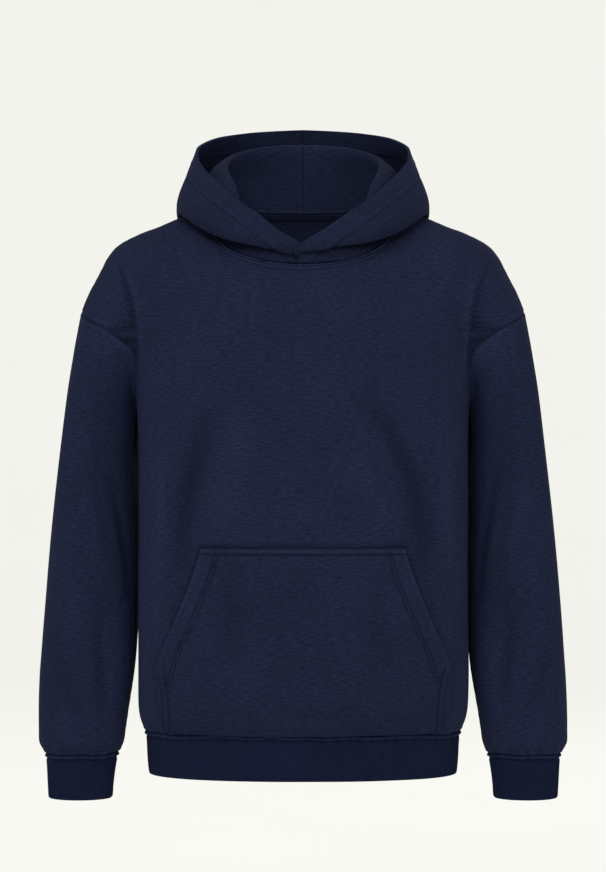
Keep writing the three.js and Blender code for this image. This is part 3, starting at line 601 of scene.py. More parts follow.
def turn_of(p):
    rings = rings_at(p[..., 2])
    x = p[..., 0]
    y = p[..., 1]
    deep = np.where(y < 0, rings["front"], rings["back"])
    across = (np.abs(x) / rings["side"]) ** (rings["square"] / 2)
    along = (np.abs(y) / deep) ** (rings["square"] / 2)
    turn = np.arctan2(across, along)
    return np.where(y < 0, turn, math.pi - turn)


def signed_power(value, power):
    return np.sign(value) * np.abs(value) ** power


def sleeve_point(turn, z):
    # turn runs from 0 at the underarm over half a turn at the outside, by way of the front.
    rings = rings_at(z)
    dy = -rings["arm_deep"] * signed_power(np.sin(turn), 2 / SLEEVE_SQUARE)
    dx = -rings["arm_wide"] * signed_power(np.cos(turn), 2 / SLEEVE_SQUARE) - rings["lean"] * dy
    return first_face(rings["arm_x"], rings["arm_y"], rings["arm_x"] + dx, rings["arm_y"] + dy, z)


def sleeve_turn_of(p):
    rings = rings_at(p[..., 2])
    dy = p[..., 1] - rings["arm_y"]
    dx = p[..., 0] - rings["arm_x"] + rings["lean"] * dy
    cos = -signed_power(dx / rings["arm_wide"], SLEEVE_SQUARE / 2)
    sin = -signed_power(dy / rings["arm_deep"], SLEEVE_SQUARE / 2)
    return np.arctan2(sin, cos)


def mix(a, b, t):
    return a + (b - a) * t


# Curves

def catmull(points, at):
    # A smooth curve through points, read at places counted in points. Spacing follows the root of the
    # distances.
    p = np.asarray(points, float)
    p = np.vstack([2 * p[0] - p[1], p, 2 * p[-1] - p[-2]])
    at = np.atleast_1d(np.asarray(at, float))
    i = np.clip(np.floor(at).astype(int), 0, len(p) - 4)
    t = (at - i)[:, None]
    p0, p1, p2, p3 = p[i], p[i + 1], p[i + 2], p[i + 3]
    d0, d1, d2 = (np.linalg.norm(b - a, axis=1)[:, None] ** 0.5 for a, b in ((p0, p1), (p1, p2), (p2, p3)))
    d1 = np.where(d1 < 1e-4, 1.0, d1)
    d0 = np.where(d0 < 1e-4, d1, d0)
    d2 = np.where(d2 < 1e-4, d1, d2)
    m1 = ((p1 - p0) / d0 - (p2 - p0) / (d0 + d1) + (p2 - p1) / d1) * d1
    m2 = ((p2 - p1) / d1 - (p3 - p1) / (d1 + d2) + (p3 - p2) / d2) * d1
    c2 = -3 * p1 + 3 * p2 - 2 * m1 - m2
    c3 = 2 * p1 - 2 * p2 + m1 + m2
    return p1 + m1 * t + c2 * t ** 2 + c3 * t ** 3


def lengths_along(points):
    steps = np.linalg.norm(np.diff(points, axis=0), axis=1)
    return np.concatenate([[0], np.cumsum(steps)])


def place_at(line, run, at):
    return np.stack([np.interp(at, run, line[:, axis]) for axis in range(3)], -1)


def spaced(points, shares):
    # Places on the smooth curve through the points at given shares of its length.
    dense = catmull(points, np.linspace(0, len(points) - 1, 1200))
    run = lengths_along(dense)
    return place_at(dense, run, np.asarray(shares) * run[-1])


def settled_curve(points, shares):
    return settle(spaced(points, shares))


def neck_point(at):
    # The neckline at places along it, 0 at the front middle, 1 at the shoulder and 2 at the back middle.
    at = np.atleast_1d(np.asarray(at, float))
    front = spaced(NECK_FRONT, np.clip(at, 0, 1))
    back = spaced(NECK_BACK, np.clip(2 - at, 0, 1))
    found = settle(np.where((at <= 1)[:, None], front, back))
    found[(at <= 0) | (at >= 2), 0] = 0
    return found


def shares_for(length, low_lines, high_lines):
    # Shares from 0 to 1 that divide a length of cloth evenly, with closer lines beside its seams.
    even = np.linspace(0, 1, max(2, round(length / CLOTH_STEP)) + 1)
    low = np.array(low_lines) / length
    high = 1 - np.array(high_lines) / length
    clear = 0.4 * CLOTH_STEP / length
    inner = even[(even > low[-1] + clear) & (even < high[-1] - clear)]
    return np.sort(np.concatenate([[0, 1], low, inner, high]))


UNDERARM = settled_curve(ARMHOLE_FRONT, [0.0])[0]
SIDE_TURN = float(turn_of(UNDERARM[None])[0])


def arm_curve(points, shares):
    found = settled_curve(points, shares)
    found[np.asarray(shares) <= 0] = UNDERARM
    return found


def hem_height(turn):
    # The hem seam dips a little at the sides.
    return HEM_SEAM - HEM_DIP * np.sin(turn) ** 2


def height_of_row(row, turn):
    low = hem_height(turn)
    above = low + FIRST_ROW
    higher = above + (UNDERARM[2] - above) * (row - 1) / (ROWS_TO_ARM - 1)
    return np.where(row < 1, low + FIRST_ROW * row, higher)


def panel_edge(arm, share):
    # The side seam and then the armhole, at shares of the panel's rows.
    row = np.asarray(share) * PANEL_ROWS
    turn = np.full_like(row, SIDE_TURN)
    side = body_point(turn, height_of_row(np.minimum(row, ROWS_TO_ARM), turn))
    hole = arm_curve(arm, np.clip((row - ROWS_TO_ARM) / ROWS_IN_ARM, 0, 1))
    return np.where((row < ROWS_TO_ARM)[:, None], side, hole)


def panel_middle(turn, front, share):
    # The middle of the front or back from the hem seam up to the neck, and then along the neckline.
    neck_rows = FRONT_NECK_ROWS if front else BACK_NECK_ROWS
    start = PANEL_ROWS - neck_rows
    row = np.asarray(share) * PANEL_ROWS
    top = neck_point(0 if front else 2)[0, 2]
    turns = np.full_like(row, turn)
    low = height_of_row(np.minimum(row, ROWS_TO_ARM), turns)
    high = mix(UNDERARM[2], top, np.clip((row - ROWS_TO_ARM) / (start - ROWS_TO_ARM), 0, 1))
    middle = body_point(turns, np.where(row < ROWS_TO_ARM, low, high))
    middle[:, 0] = 0
    along = np.clip((row - start) / neck_rows, 0, 1)
    neck = neck_point(along if front else 2 - along)
    return np.where((row < start)[:, None], middle, neck)


def turn_and_height(p):
    return np.stack([turn_of(p), p[:, 2]], -1)


def half_panel(front, across, up):
    # The cloth between four curves: the hem seam, the side with its armhole, the shoulder, and the middle
    # with its neckline. Turns and heights are blended between the curves and then set on the form.
    left = panel_middle(0.0 if front else math.pi, front, up)
    right = panel_edge(ARMHOLE_FRONT if front else ARMHOLE_BACK, up)
    over = settled_curve(SHOULDER_LINE, across)
    over[0] = left[-1]
    over[-1] = right[-1]
    inner, outer, top = (turn_and_height(line) for line in (left, right, over))
    foot_turn = mix(inner[0, 0], outer[0, 0], across)
    foot = np.stack([foot_turn, hem_height(foot_turn)], -1)
    u = across[None, :, None]
    v = up[:, None, None]
    sides = mix(inner[:, None], outer[:, None], u)
    ends = mix(foot[None], top[None], v)
    corners = mix(mix(foot[0], foot[-1], u), mix(top[0], top[-1], u), v)
    blended = sides + ends - corners
    grid = body_point(blended[..., 0], blended[..., 1])
    grid[:, 0] = left
    grid[:, -1] = right
    grid[-1] = over
    return grid


# Lines on the cloth

def resampled(line, step=2.0):
    run = lengths_along(line)
    return place_at(line, run, np.linspace(0, run[-1], max(2, int(run[-1] / step)) + 1))


def near_line(points, line, reach):
    # How far each point is from a line, and how far along it. Points farther away than reach keep a large
    # distance.
    dense = resampled(line)
    run = lengths_along(dense)
    tree = KDTree(len(dense))
    for i, p in enumerate(dense):
        tree.insert(p, i)
    tree.balance()
    distance = np.full(len(points), NOT_NEAR)
    along = np.zeros(len(points))
    low = dense.min(0) - reach
    high = dense.max(0) + reach
    chosen = np.nonzero(((points >= low) & (points <= high)).all(1))[0]
    if not len(chosen):
        return distance, along
    nearest = np.array([tree.find(points[k])[1] for k in chosen])
    p = points[chosen]
    best = np.full(len(chosen), NOT_NEAR)
    place = np.zeros(len(chosen))
    for shift in (-1, 0):
        start = np.clip(nearest + shift, 0, len(dense) - 2)
        a = dense[start]
        edge = dense[start + 1] - a
        t = np.clip(((p - a) * edge).sum(1) / (edge ** 2).sum(1), 0, 1)
        gap = np.linalg.norm(p - a - edge * t[:, None], axis=1)
        closer = gap < best
        best = np.where(closer, gap, best)
        place = np.where(closer, mix(run[start], run[start + 1], t), place)
    distance[chosen] = best
    along[chosen] = place
    return distance, along


def bell(distance, centre, width):
    return np.exp(-(((distance - centre) / width) ** 2))


def relief(distance, rows):
    # The height at distances from a line, from rows of height, distance and width.
    return sum(height * bell(distance, place, width) for height, place, width in rows)


def crease(points, line, width, depth, reach):
    # The height of one crease at the points. It fades out towards its two ends.
    distance, along = near_line(points, line, reach)
    fade = np.sin(math.pi * np.clip(along / lengths_along(line)[-1], 0, 1)) ** CREASE_FADE
    return np.where(distance < NOT_NEAR, depth * bell(distance, 0, width) * fade, 0)


def on_face(x, z, back=False):
    # The place on the front or the back of the cloth at points of the front view.
    x = np.asarray(x, float)
    z = np.asarray(z, float)
    sign = -1.0 if back else 1.0
    rings = rings_at(z)
    long = {key: value[..., None] for key, value in rings.items()}
    trial = np.arange(0, VIEW_DEPTH, VIEW_STEP) - VIEW_REACH
    inside = distance_in(long, x[..., None], sign * trial) <= 0
    first = np.argmax(inside, -1)
    high = trial[first]
    low = high - VIEW_STEP
    for _ in range(VIEW_HALVINGS):
        middle = (low + high) / 2
        outside = distance_in(rings, x, sign * middle) > 0
        low = np.where(outside, middle, low)
        high = np.where(outside, high, middle)
    return np.stack([x, sign * high, z], -1)


def drawn(places, count, back=False):
    # A smooth line on the front or the back of the cloth through places of the front view.
    flat = catmull([(x, 0, z) for x, z in places], np.linspace(0, len(places) - 1, count))
    return on_face(flat[:, 0], flat[:, 2], back)


def mirrored(points):
    return points * np.array([-1.0, 1.0, 1.0])


def unevenness(p, height, size):
    # A slow, smooth variation of the cloth, the same on both pieces at a seam.
    x, y, z = p[..., 0] / size, p[..., 1] / size, p[..., 2] / size
    first = np.sin(1.7 * x + 0.9 * z + 1.3) * np.sin(1.1 * z - 0.8 * y + 0.4)
    second = np.sin(2.9 * x - 1.3 * y + 2.1) * np.sin(2.3 * z + 1.9 * x + 5.2)
    return height * (0.65 * first + 0.35 * second)


# Sheets of cloth

def sheet_of(grid, normals, around=False, level=False, turned=False):
    # Points, normals, four-sided faces and texture places in metres along the cloth. Where level is true,
    # the rows of knitting run level round the form. Where turned is true, they run along the columns of the
    # grid.
    rows, count = grid.shape[:2]
    at = np.arange(rows * count).reshape(rows, count)
    closed = np.concatenate([grid, grid[:, :1]], 1) if around else grid
    wrap = np.concatenate([at, at[:, :1]], 1) if around else at
    across = np.linalg.norm(np.diff(closed, axis=1), axis=-1)
    up = np.linalg.norm(np.diff(closed, axis=0), axis=-1)
    u = np.concatenate([np.zeros((rows, 1)), np.cumsum(across, 1)], 1)
    v = np.concatenate([np.zeros((1, closed.shape[1])), np.cumsum(up, 0)], 0)
    if level:
        start = turn_of(closed[:, :1]) * LEVEL_RADIUS
        u = u - u.mean(1, keepdims=True) if around else u + start
        v = closed[..., 2]
    places = np.stack([v, u] if turned else [u, v], -1) * MILLIMETRE
    first = slice(None, -1)
    second = slice(1, None)
    corners = [(first, first), (first, second), (second, second), (second, first)]
    faces = np.stack([wrap[c] for c in corners], -1).reshape(-1, 4)
    uv = np.stack([places[c] for c in corners], -2).reshape(-1, 4, 2)
    points = grid.reshape(-1, 3)
    sheet = {"points": points, "normals": normals.reshape(-1, 3), "faces": faces, "uv": uv}
    return wound_outward(sheet)


def wound_outward(sheet):
    corner = sheet["points"][sheet["faces"]]
    normal = np.cross(corner[:, 2] - corner[:, 0], corner[:, 3] - corner[:, 1])
    if (normal * sheet["normals"][sheet["faces"][:, 0]]).sum() < 0:
        sheet["faces"] = sheet["faces"][:, ::-1]
        sheet["uv"] = sheet["uv"][:, ::-1]
    return sheet


def mirrored_sheet(sheet):
    return {
        "points": mirrored(sheet["points"]),
        "normals": mirrored(sheet["normals"]),
        "faces": sheet["faces"][:, ::-1],
        "uv": sheet["uv"][:, ::-1] * np.array([-1, 1]),
    }


def joined(a, b):
    # Joins two sheets where their points meet.
    points = np.vstack([a["points"], b["points"]])
    keys = np.round(points * 100).astype(np.int64)
    _, first, renumber = np.unique(keys, axis=0, return_index=True, return_inverse=True)
    renumber = renumber.reshape(-1)
    faces = np.vstack([a["faces"], b["faces"] + len(a["points"])])
    normals = np.vstack([a["normals"], b["normals"]])
    return {
        "points": points[first],
        "normals": normals[first],
        "faces": renumber[faces],
        "uv": np.concatenate([a["uv"], b["uv"]]),
    }


def cut_edges(faces, count):
    # The edges that only one face has, each in that face's winding.
    a = faces.ravel()
    b = np.roll(faces, -1, 1).ravel()
    forward = a.astype(np.int64) * count + b
    backward = b.astype(np.int64) * count + a
    alone = ~np.isin(forward, backward)
    return a[alone], b[alone]


def wall(name, sheet, thickness, free=None):
    # A closed shell: the sheet outside, the same sheet one thickness inside, and strips along its cut
    # edges. The edges are full and round where free is true, and nearly flat at the seams.
    points = sheet["points"]
    normals = sheet["normals"]
    count = len(points)
    thick = np.broadcast_to(np.asarray(thickness, float), (count,))[:, None]
    a, b = cut_edges(sheet["faces"], count)
    along = points[b] - points[a]
    inward = np.zeros((count, 3))
    for ends in (a, b):
        np.add.at(inward, ends, unit(np.cross(normals[ends], along)))
    inward = unit(inward)
    rim = np.unique(np.concatenate([a, b]))
    bulge = np.full(count, SEAM_BULGE)
    if free is not None:
        bulge[free] = FREE_BULGE
    outer = points.copy()
    outer[rim] += inward[rim] * bulge[rim, None] * thick[rim] / 2
    inner = outer - normals * thick
    middle = (outer[rim] + inner[rim]) / 2
    half = (outer[rim] - inner[rim]) / 2
    out = -inward[rim] * np.linalg.norm(half, axis=1, keepdims=True) * bulge[rim, None]
    layers = [outer, inner]
    shade = sheet.get("shade", np.ones(count))
    shades = [shade, sheet.get("inner_shade", shade)]
    numbers = np.full(count, -1)
    numbers[rim] = np.arange(len(rim))
    rings = [a]
    next_rings = [b]
    for k in range(1, EDGE_STEPS):
        angle = math.pi * k / EDGE_STEPS
        layers.append(middle + half * math.cos(angle) + out * math.sin(angle))
        shades.append(shade[rim])
        start = 2 * count + (k - 1) * len(rim)
        rings.append(start + numbers[a])
        next_rings.append(start + numbers[b])
    rings.append(count + a)
    next_rings.append(count + b)
    faces = [sheet["faces"], sheet["faces"][:, ::-1] + count]
    uv = [sheet["uv"], sheet["uv"][:, ::-1]]
    run = np.cumsum(np.linalg.norm(along, axis=1)) * MILLIMETRE
    for k in range(EDGE_STEPS):
        faces.append(np.stack([next_rings[k], rings[k], rings[k + 1], next_rings[k + 1]], -1))
        low, high = (np.stack([run, np.full(len(run), (k + more) * MILLIMETRE)], -1) for more in (0, 1))
        uv.append(np.stack([low, low, high, high], 1))
    piece = mesh_object(name, np.vstack(layers) * MILLIMETRE, np.vstack(faces), np.concatenate(uv))
    marks = piece.data.attributes.new("shade", "FLOAT", "POINT")
    marks.data.foreach_set("value", np.clip(np.concatenate(shades), *SHADE_RANGE).astype(np.float32))
    return piece


def mesh_object(name, points, faces, uv=None):
    mesh = bpy.data.meshes.new(name)
    mesh.vertices.add(len(points))
    mesh.vertices.foreach_set("co", np.asarray(points, np.float32).ravel())
    size = faces.shape[1]
    mesh.loops.add(faces.size)
    mesh.loops.foreach_set("vertex_index", faces.astype(np.int32).ravel())
    mesh.polygons.add(len(faces))
    mesh.polygons.foreach_set("loop_start", np.arange(0, faces.size, size, dtype=np.int32))
    mesh.polygons.foreach_set("use_smooth", np.ones(len(faces), bool))
    if uv is not None:
        mesh.uv_layers.new(name="cloth")
        mesh.uv_layers["cloth"].data.foreach_set("uv", uv.astype(np.float32).ravel())
    mesh.update(calc_edges=True)
    made = bpy.data.objects.new(name, mesh)
    bpy.context.scene.collection.objects.link(made)
    return made


# Creases, seams and their waves

CREASES = [
    (drawn(places, 12 * (len(places) - 1), back), width, depth)
    for rows, back in ((FRONT_CREASES, False), (BACK_CREASES, True))
    for width, depth, places in rows
]


def creased(points):
    # The height of all the creases at the points.
    return sum(crease(points, line, width, depth, CREASE_SPREAD * width) for line, width, depth in CREASES)


def seam_relief(points, line, profile, pucker):
    # The height of the cloth beside a seam, with small gathers along it.
    distance, along = near_line(points, line, SEAM_REACH)
    uneven = GATHER_CHANGE * np.sin(along / GATHER_CHANGE_LENGTH)
    gathers = np.sin(along / GATHER_LENGTH + uneven) * pucker * bell(distance, *GATHER_PLACE)
    return np.where(distance < NOT_NEAR, relief(distance, profile) + gathers, 0)


def seam_wave(p):
    # Seams at the ribs wander up and down by a millimetre or two, except at the body's two sides.
    quick = 0.9 * np.sin(p[..., 0] / 9.5 + 2.0 * np.sin(p[..., 0] / 37) + 0.6)
    steady = bell(np.abs(p[..., 0]), HEM_HALF, HEM_STEADY)
    return (quick + 0.8 * np.sin(p[..., 0] / 31 + p[..., 1] / 23 + 2.0)) * (1 - steady)


def waved(points, line, size):
    distance, _ = near_line(points, line, 45)
    share = np.where(distance < NOT_NEAR, np.exp(-np.minimum(distance, 100) / WAVE_REACH), 0)
    moved = points.copy()
    moved[:, 2] += size * seam_wave(points) * share
    return moved


def hem_line():
    turns = np.linspace(0, 2 * math.pi, 400)
    folded = np.where(turns > math.pi, 2 * math.pi - turns, turns)
    line = body_point(folded, hem_height(folded))
    line[:, 0] *= np.where(turns > math.pi, -1, 1)
    return line


def cuff_line():
    turns = np.linspace(0, 2 * math.pi, 160)
    return sleeve_point(turns, np.full(160, CUFF_SEAM))


def side_line():
    row = np.linspace(0, ROWS_TO_ARM, 90)
    turn = np.full(90, SIDE_TURN)
    return body_point(turn, height_of_row(row, turn))


def pocket_line():
    # The outline of the pocket: up one side, over the top and down the other.
    z = np.linspace(POCKET_ROWS["z"][0], POCKET_ROWS["z"][-1], 90)
    half = np.interp(z, POCKET_ROWS["z"], POCKET_ROWS["half"])
    top = np.linspace(half[-1], -half[-1], 60)[1:-1]
    x = np.concatenate([half, top, -half[::-1]])
    return on_face(x, np.concatenate([z, np.full(58, z[-1]), z[::-1]]))


SHARES = np.linspace(0, 1, 120)
POCKET_LINE = pocket_line()
HEM_LINE = hem_line()
CUFF_LINE = cuff_line()
SIDE_LINE = side_line()
ARM_FRONT_LINE = arm_curve(ARMHOLE_FRONT, SHARES)
ARM_BACK_LINE = arm_curve(ARMHOLE_BACK, SHARES)
SHOULDER_SEAM = settled_curve(SHOULDER_LINE, SHARES)
NECK_HALF = neck_point(np.linspace(0, 2, 200))
NECK_LINE = np.vstack([NECK_HALF, mirrored(NECK_HALF[::-1])])


def lift(sheet, height):
    # Moves the points of a sheet along its normals.
    sheet["points"] = sheet["points"] + sheet["normals"] * np.reshape(height, (-1, 1))


def with_relief(sheet, seams, wave_line, wave, uneven):
    # Moves the points of a sheet by its creases, its seams and a slow unevenness. Painted shade makes the
    # cloth a little darker in its creases and seams, and a painted highlight makes it lighter on its ridges.
    points = sheet["points"]
    folds = creased(points)
    stitched = np.zeros(len(points))
    for line, profile, pucker in seams:
        stitched += seam_relief(points, line, profile, pucker)
    height = folds + stitched + unevenness(points, *uneven)
    sheet["shade"] = 1 + CREASE_SHADE * folds + SEAM_SHADE * stitched
    sheet["points"] = waved(points, wave_line, wave)
    lift(sheet, height)


# The pieces of cloth

def dress(piece, node, material):
    piece.data.materials.append(material)
    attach(piece, "root")
    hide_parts(node)


def dress_sheet(piece, node, material):
    dress(piece, node, material)


def panel_sheet(front):
    across = shares_for(PANEL_WIDTH, NECK_LINES, SEAM_LINES)
    neck = 1 - (FRONT_NECK_ROWS if front else BACK_NECK_ROWS) / PANEL_ROWS
    below_neck = neck - np.array(NECK_LINES) / MIDDLE_RISE
    corners = [ROWS_TO_ARM / PANEL_ROWS, neck]
    up = np.unique(np.concatenate([shares_for(PANEL_HEIGHT, SEAM_LINES, SEAM_LINES), corners, below_neck]))
    half = half_panel(front, across, up)
    normals = outward(half)
    flat = np.abs(half[..., 0]) < 1e-6
    normals[flat, 0] = 0
    half_sheet = sheet_of(half, unit(normals), level=True)
    return joined(half_sheet, mirrored_sheet(half_sheet))


def both_sides(line, profile, pucker):
    return [(line, profile, pucker), (mirrored(line), profile, pucker)]


def make_panel(name, front, material):
    seams = [(HEM_LINE, PLAIN_SEAM, HEM_PUCKER), (NECK_LINE, NECK_SEAM, NECK_PUCKER)]
    if front:
        seams.append((POCKET_LINE, UNDER_POCKET, 0.0))
    seams += both_sides(SIDE_LINE, PLAIN_SEAM, SIDE_PUCKER)
    seams += both_sides(ARM_FRONT_LINE if front else ARM_BACK_LINE, PLAIN_SEAM, SIDE_PUCKER)
    seams += both_sides(SHOULDER_SEAM, PLAIN_SEAM, SHOULDER_PUCKER)
    sheet = panel_sheet(front)
    with_relief(sheet, seams, HEM_LINE, HEM_WAVE, BODY_UNEVEN)
    points = sheet["points"]
    # Painted light: the cloth is painted lighter towards its sides below the armholes, where the sleeves
    # shade it.
    low = np.clip((SIDE_TOP - points[:, 2]) / SIDE_TOP_FADE, 0, 1)
    side = np.clip(1 - (SIDE_X - np.abs(points[:, 0])) / SIDE_FADE, 0, 1)
    sheet["shade"] *= 1 + SIDE_LIGHT * low * side
    # A painted shadow just under the lowest edge of the hood, on the front panel.
    if front:
        edge = drawn(HOOD_EDGE, 40)
        for line in (edge, mirrored(edge)):
            away = near_line(points, line, SEAM_REACH)[0]
            sheet["shade"] -= UNDER_EDGE_SHADE * bell(away, 0, UNDER_EDGE_WIDTH)
    # Painted light: the inside of the panels is painted lighter.
    sheet["inner_shade"] = INNER_LIGHT * sheet["shade"]
    dress_sheet(wall(name + "_cloth", sheet, FLEECE), name, material)
    return sheet


def rib_relief(count):
    # Ribs stand up round a tube, POINTS_IN_RIB points to each.
    phase = 2 * math.pi * np.arange(count) / POINTS_IN_RIB
    return RIB_HEIGHT * np.cos(phase) + RIB_CROWN * np.cos(2 * phase)


def even_turns(point, low, high, z, count):
    # Turns that stand evenly apart along a level ring.
    turns = np.linspace(low, high, 1500)
    run = lengths_along(point(turns, np.full(1500, z)))
    return np.interp(np.linspace(0, run[-1], count), run, turns)


def tube_shares(length):
    # Rows down a rib: close together beside the seam and at the folded end.
    inner = np.linspace(0, 1, round(length / RIB_STEP) + 1)[2:-1]
    start = np.array(RIB_START_LINES) / length
    end = 1 - np.array(RIB_END_LINES) / length
    inner = inner[(inner > start[-1] + RIB_CLEAR) & (inner < end[0] - RIB_CLEAR)]
    return np.unique(np.concatenate([start, inner, end]))


def make_rib(node, grid, line, wave, material):
    # A tube of rib knit with a round ridge below its seam. Its folded end turns in.
    sheet = sheet_of(grid, outward(grid), around=True)
    rows, count = grid.shape[:2]
    with_relief(sheet, [(line, RIB_SEAM, RIB_PUCKER)], line, wave, RIB_UNEVEN)
    # A painted highlight along the round ridge below the seam.
    beside_seam, _ = near_line(sheet["points"], line, SEAM_REACH)
    sheet["shade"] += relief(beside_seam, RIB_RIDGE_HIGHLIGHT)
    down = np.linalg.norm(grid - grid[:1], axis=-1)
    left = down[-1].mean() - down
    ribs = np.tile(rib_relief(count), (rows, 1)) * np.clip((down - RIB_BARE) / RIB_FADE, 0, 1)
    ribs *= np.clip(left / RIB_END_FADE, RIB_END_SHARE, 1)
    lift(sheet, ribs - RIB_TURN_IN * np.clip(1 - left / RIB_TURN_DEPTH, 0, 1) ** 2)
    free = np.zeros((rows, count), bool)
    free[-1] = True
    piece = wall(node + "_cloth", sheet, RIB, free.ravel())
    dress_sheet(piece, node, material)


def make_hem(material):
    half_count = 2 * round(HEM_GIRTH / 2 / RIB_PITCH) * POINTS_IN_RIB // 2
    turns = even_turns(body_point, 0, math.pi, HEM_SEAM, half_count + 1)
    shares = tube_shares(HEM_SEAM - HEM_END)
    z = mix(hem_height(turns)[None], HEM_END, shares[:, None])
    right = body_point(np.broadcast_to(turns, z.shape), z)
    right[:, [0, -1], 0] = 0
    grid = np.concatenate([right, mirrored(right[:, -2:0:-1])], 1)
    make_rib("hem_rib", grid, HEM_LINE, HEM_WAVE, material)


def sleeve_grid(shares, count):
    half = count // 2
    front = arm_curve(ARMHOLE_FRONT, np.linspace(0, 1, half + 1))
    back = arm_curve(ARMHOLE_BACK, np.linspace(0, 1, half + 1))
    top = np.vstack([front, back[-2:0:-1]])
    turns = sleeve_turn_of(top)
    turns[half + 1:] = np.where(turns[half + 1:] < 0, turns[half + 1:] + 2 * math.pi, turns[half + 1:])
    turns[0] = 0
    level = np.arange(len(top)) * 2 * math.pi / len(top)
    t = shares[:, None]
    turn = mix(turns[None], level[None], np.minimum(1, t * SLEEVE_LEVELS_AT))
    grid = sleeve_point(turn, mix(top[None, :, 2], CUFF_SEAM, t))
    grid[0] = top
    return grid


def make_sleeve(side, material):
    grid = sleeve_grid(shares_for(SLEEVE_LENGTH, SEAM_LINES, SEAM_LINES), SLEEVE_COLUMNS)
    sheet = sheet_of(grid, outward(grid), around=True, level=True)
    lines = (ARM_FRONT_LINE, ARM_BACK_LINE, CUFF_LINE, grid[:, 0])
    if side == "left":
        sheet = mirrored_sheet(sheet)
        lines = tuple(mirrored(line) for line in lines)
    seams = [(line, PLAIN_SEAM, pucker) for line, pucker in zip(lines, SLEEVE_PUCKERS)]
    with_relief(sheet, seams, lines[2], CUFF_WAVE, BODY_UNEVEN)
    # Painted light: the inner side of the sleeve, beside the body, is painted lighter where the body shades
    # it.
    points = sheet["points"]
    inner = np.clip(1 - (np.abs(points[:, 0]) - SIDE_X) / SLEEVE_FADE, 0, 1)
    sheet["shade"] *= 1 + SLEEVE_LIGHT * inner * np.clip(1 - points[:, 1] / SLEEVE_BACK, 0, 1)
    dress_sheet(wall(f"sleeve_{side}_cloth", sheet, FLEECE), f"sleeve_{side}", material)


def make_cuff(side, material):
    count = round(CUFF_GIRTH / RIB_PITCH) * POINTS_IN_RIB
    turns = even_turns(sleeve_point, 0, 2 * math.pi, CUFF_SEAM, count + 1)[:-1]
    shares = tube_shares(CUFF_SEAM - CUFF_END)
    z = np.broadcast_to(mix(CUFF_SEAM, CUFF_END, shares)[:, None], (len(shares), count))
    grid = sleeve_point(np.broadcast_to(turns, z.shape), z)
    line = CUFF_LINE
    if side == "left":
        grid = mirrored(grid)
        line = mirrored(line)
    make_rib(f"cuff_{side}", grid, line, CUFF_WAVE, material)


def hood_section(at, seam_point, shares):
    places = np.array([station[0] for station in HOOD_STATIONS])
    i = int(np.clip(np.searchsorted(places[1:], at, side="left"), 0, len(places) - 2))
    t = i + (at - places[i]) / (places[i + 1] - places[i])
    named = [seam_point]
    for column in range(1, HOOD_SPANS + 1):
        named.append(catmull([station[column] for station in HOOD_STATIONS], t)[0])
    line = catmull(np.array(named), shares * HOOD_SPANS)
    line[0] = seam_point
    return line


def hood_grid(places, shares):
    seam = neck_point(places)
    grid = np.stack([hood_section(at, p, shares) for at, p in zip(places, seam)])
    grid[-1, :, 0] = 0
    return grid


def lapped(grid):
    # The half that laps over the other at the front middle: moved out there, and carried on past the
    # middle.
    out_normal = unit(np.array(LAP_NORMAL))
    fade = np.where(grid[..., 1] < 0, np.clip(1 - np.abs(grid[..., 0]) / LAP_FADE, 0, 1), 0)
    share = np.minimum(1, 2 * fade)
    share = share * share * (3 - 2 * share)
    grown = grid + out_normal * LAP_OUT * share[..., None]
    grown[..., 2] += LAP_RISE * share
    foot = grown[0, 0] * np.array([0, 1, 1]) + np.array([LAP_END, 0, 0])
    tip = np.array(LAP_RIM, float) + out_normal * LAP_OUT
    end = mix(foot, tip, np.linspace(0, 1, grid.shape[1])[:, None])
    strips = np.stack([mix(end, grown[0], t) for t in LAP_STRIPS])
    return np.concatenate([strips, grown])


def grid_normals(grid):
    across = np.gradient(grid, axis=1)
    up = np.gradient(grid, axis=0)
    return unit(np.cross(across, up))


def hood_relief(points, rim, middle_line, side):
    # The height of the cloth, and its painted shade, darker where it sinks and lighter where it rises.
    height = np.zeros(len(points))
    for half, width, depth, places in HOOD_CREASES:
        if half in (side, "both"):
            line = catmull(places, np.linspace(0, 2, 30))
            reach = HOOD_CREASE_SPREAD[0] * width + HOOD_CREASE_SPREAD[1]
            height += crease(points, line, width, depth, reach)
    for place, size, depth in DENTS:
        height += depth * bell(np.linalg.norm(points - np.array(place, float), axis=1), 0, size)
    stitched = np.where(rim < NOT_NEAR, relief(rim, HOOD_HEM_SEAM), 0)
    stitched += seam_relief(points, NECK_HALF, PLAIN_SEAM, HOOD_NECK_PUCKER)
    stitched += seam_relief(points, middle_line, PLAIN_SEAM, HOOD_MIDDLE_PUCKER)
    shade = 1 + HOOD_CREASE_SHADE * height + SEAM_SHADE * stitched
    return height + stitched + unevenness(points, *HOOD_UNEVEN), shade


def inner_hood_shade(points, middle_line):
    # Painted shade: the inside of the hood is painted a little darker, most of all in its dents and along its
    # middle seam.
    middle, _ = near_line(points, middle_line, 8)
    shade = HOOD_INSIDE_SHADE + relief(middle, INNER_MIDDLE_SHADE)
    for place, size, _ in DENTS[:INNER_DENTS]:
        away = np.linalg.norm(points - np.array(place, float), axis=1)
        shade -= DENT_SHADE * bell(away, 0, size)
    return shade


def outer_hood_shade(grid, shares):
    # Painted shadow: the cloth that stands up from the neck is painted dark just under the edge of the hood.
    # The outside is painted a little darker overall, and painted light brightens the cloth under the hood.
    under = np.clip((UNDER_SHARE - shares) / UNDER_FADE, 0, 1)
    lowest = np.argmin(np.abs(shares - LOWEST_SHARE))
    drop = np.maximum(0, grid[:, lowest, 2][:, None] - grid[..., 2])
    shadow_under_edge = bell(drop, 0, TUCK_REACH) * np.clip((TUCK_SHARE - shares) / TUCK_FADE, 0, 1)
    return (HOOD_OUTSIDE_SHADE * (1 - (1 - UNDER_HOOD_LIGHT) * under) - TUCK_SHADE * shadow_under_edge).ravel()


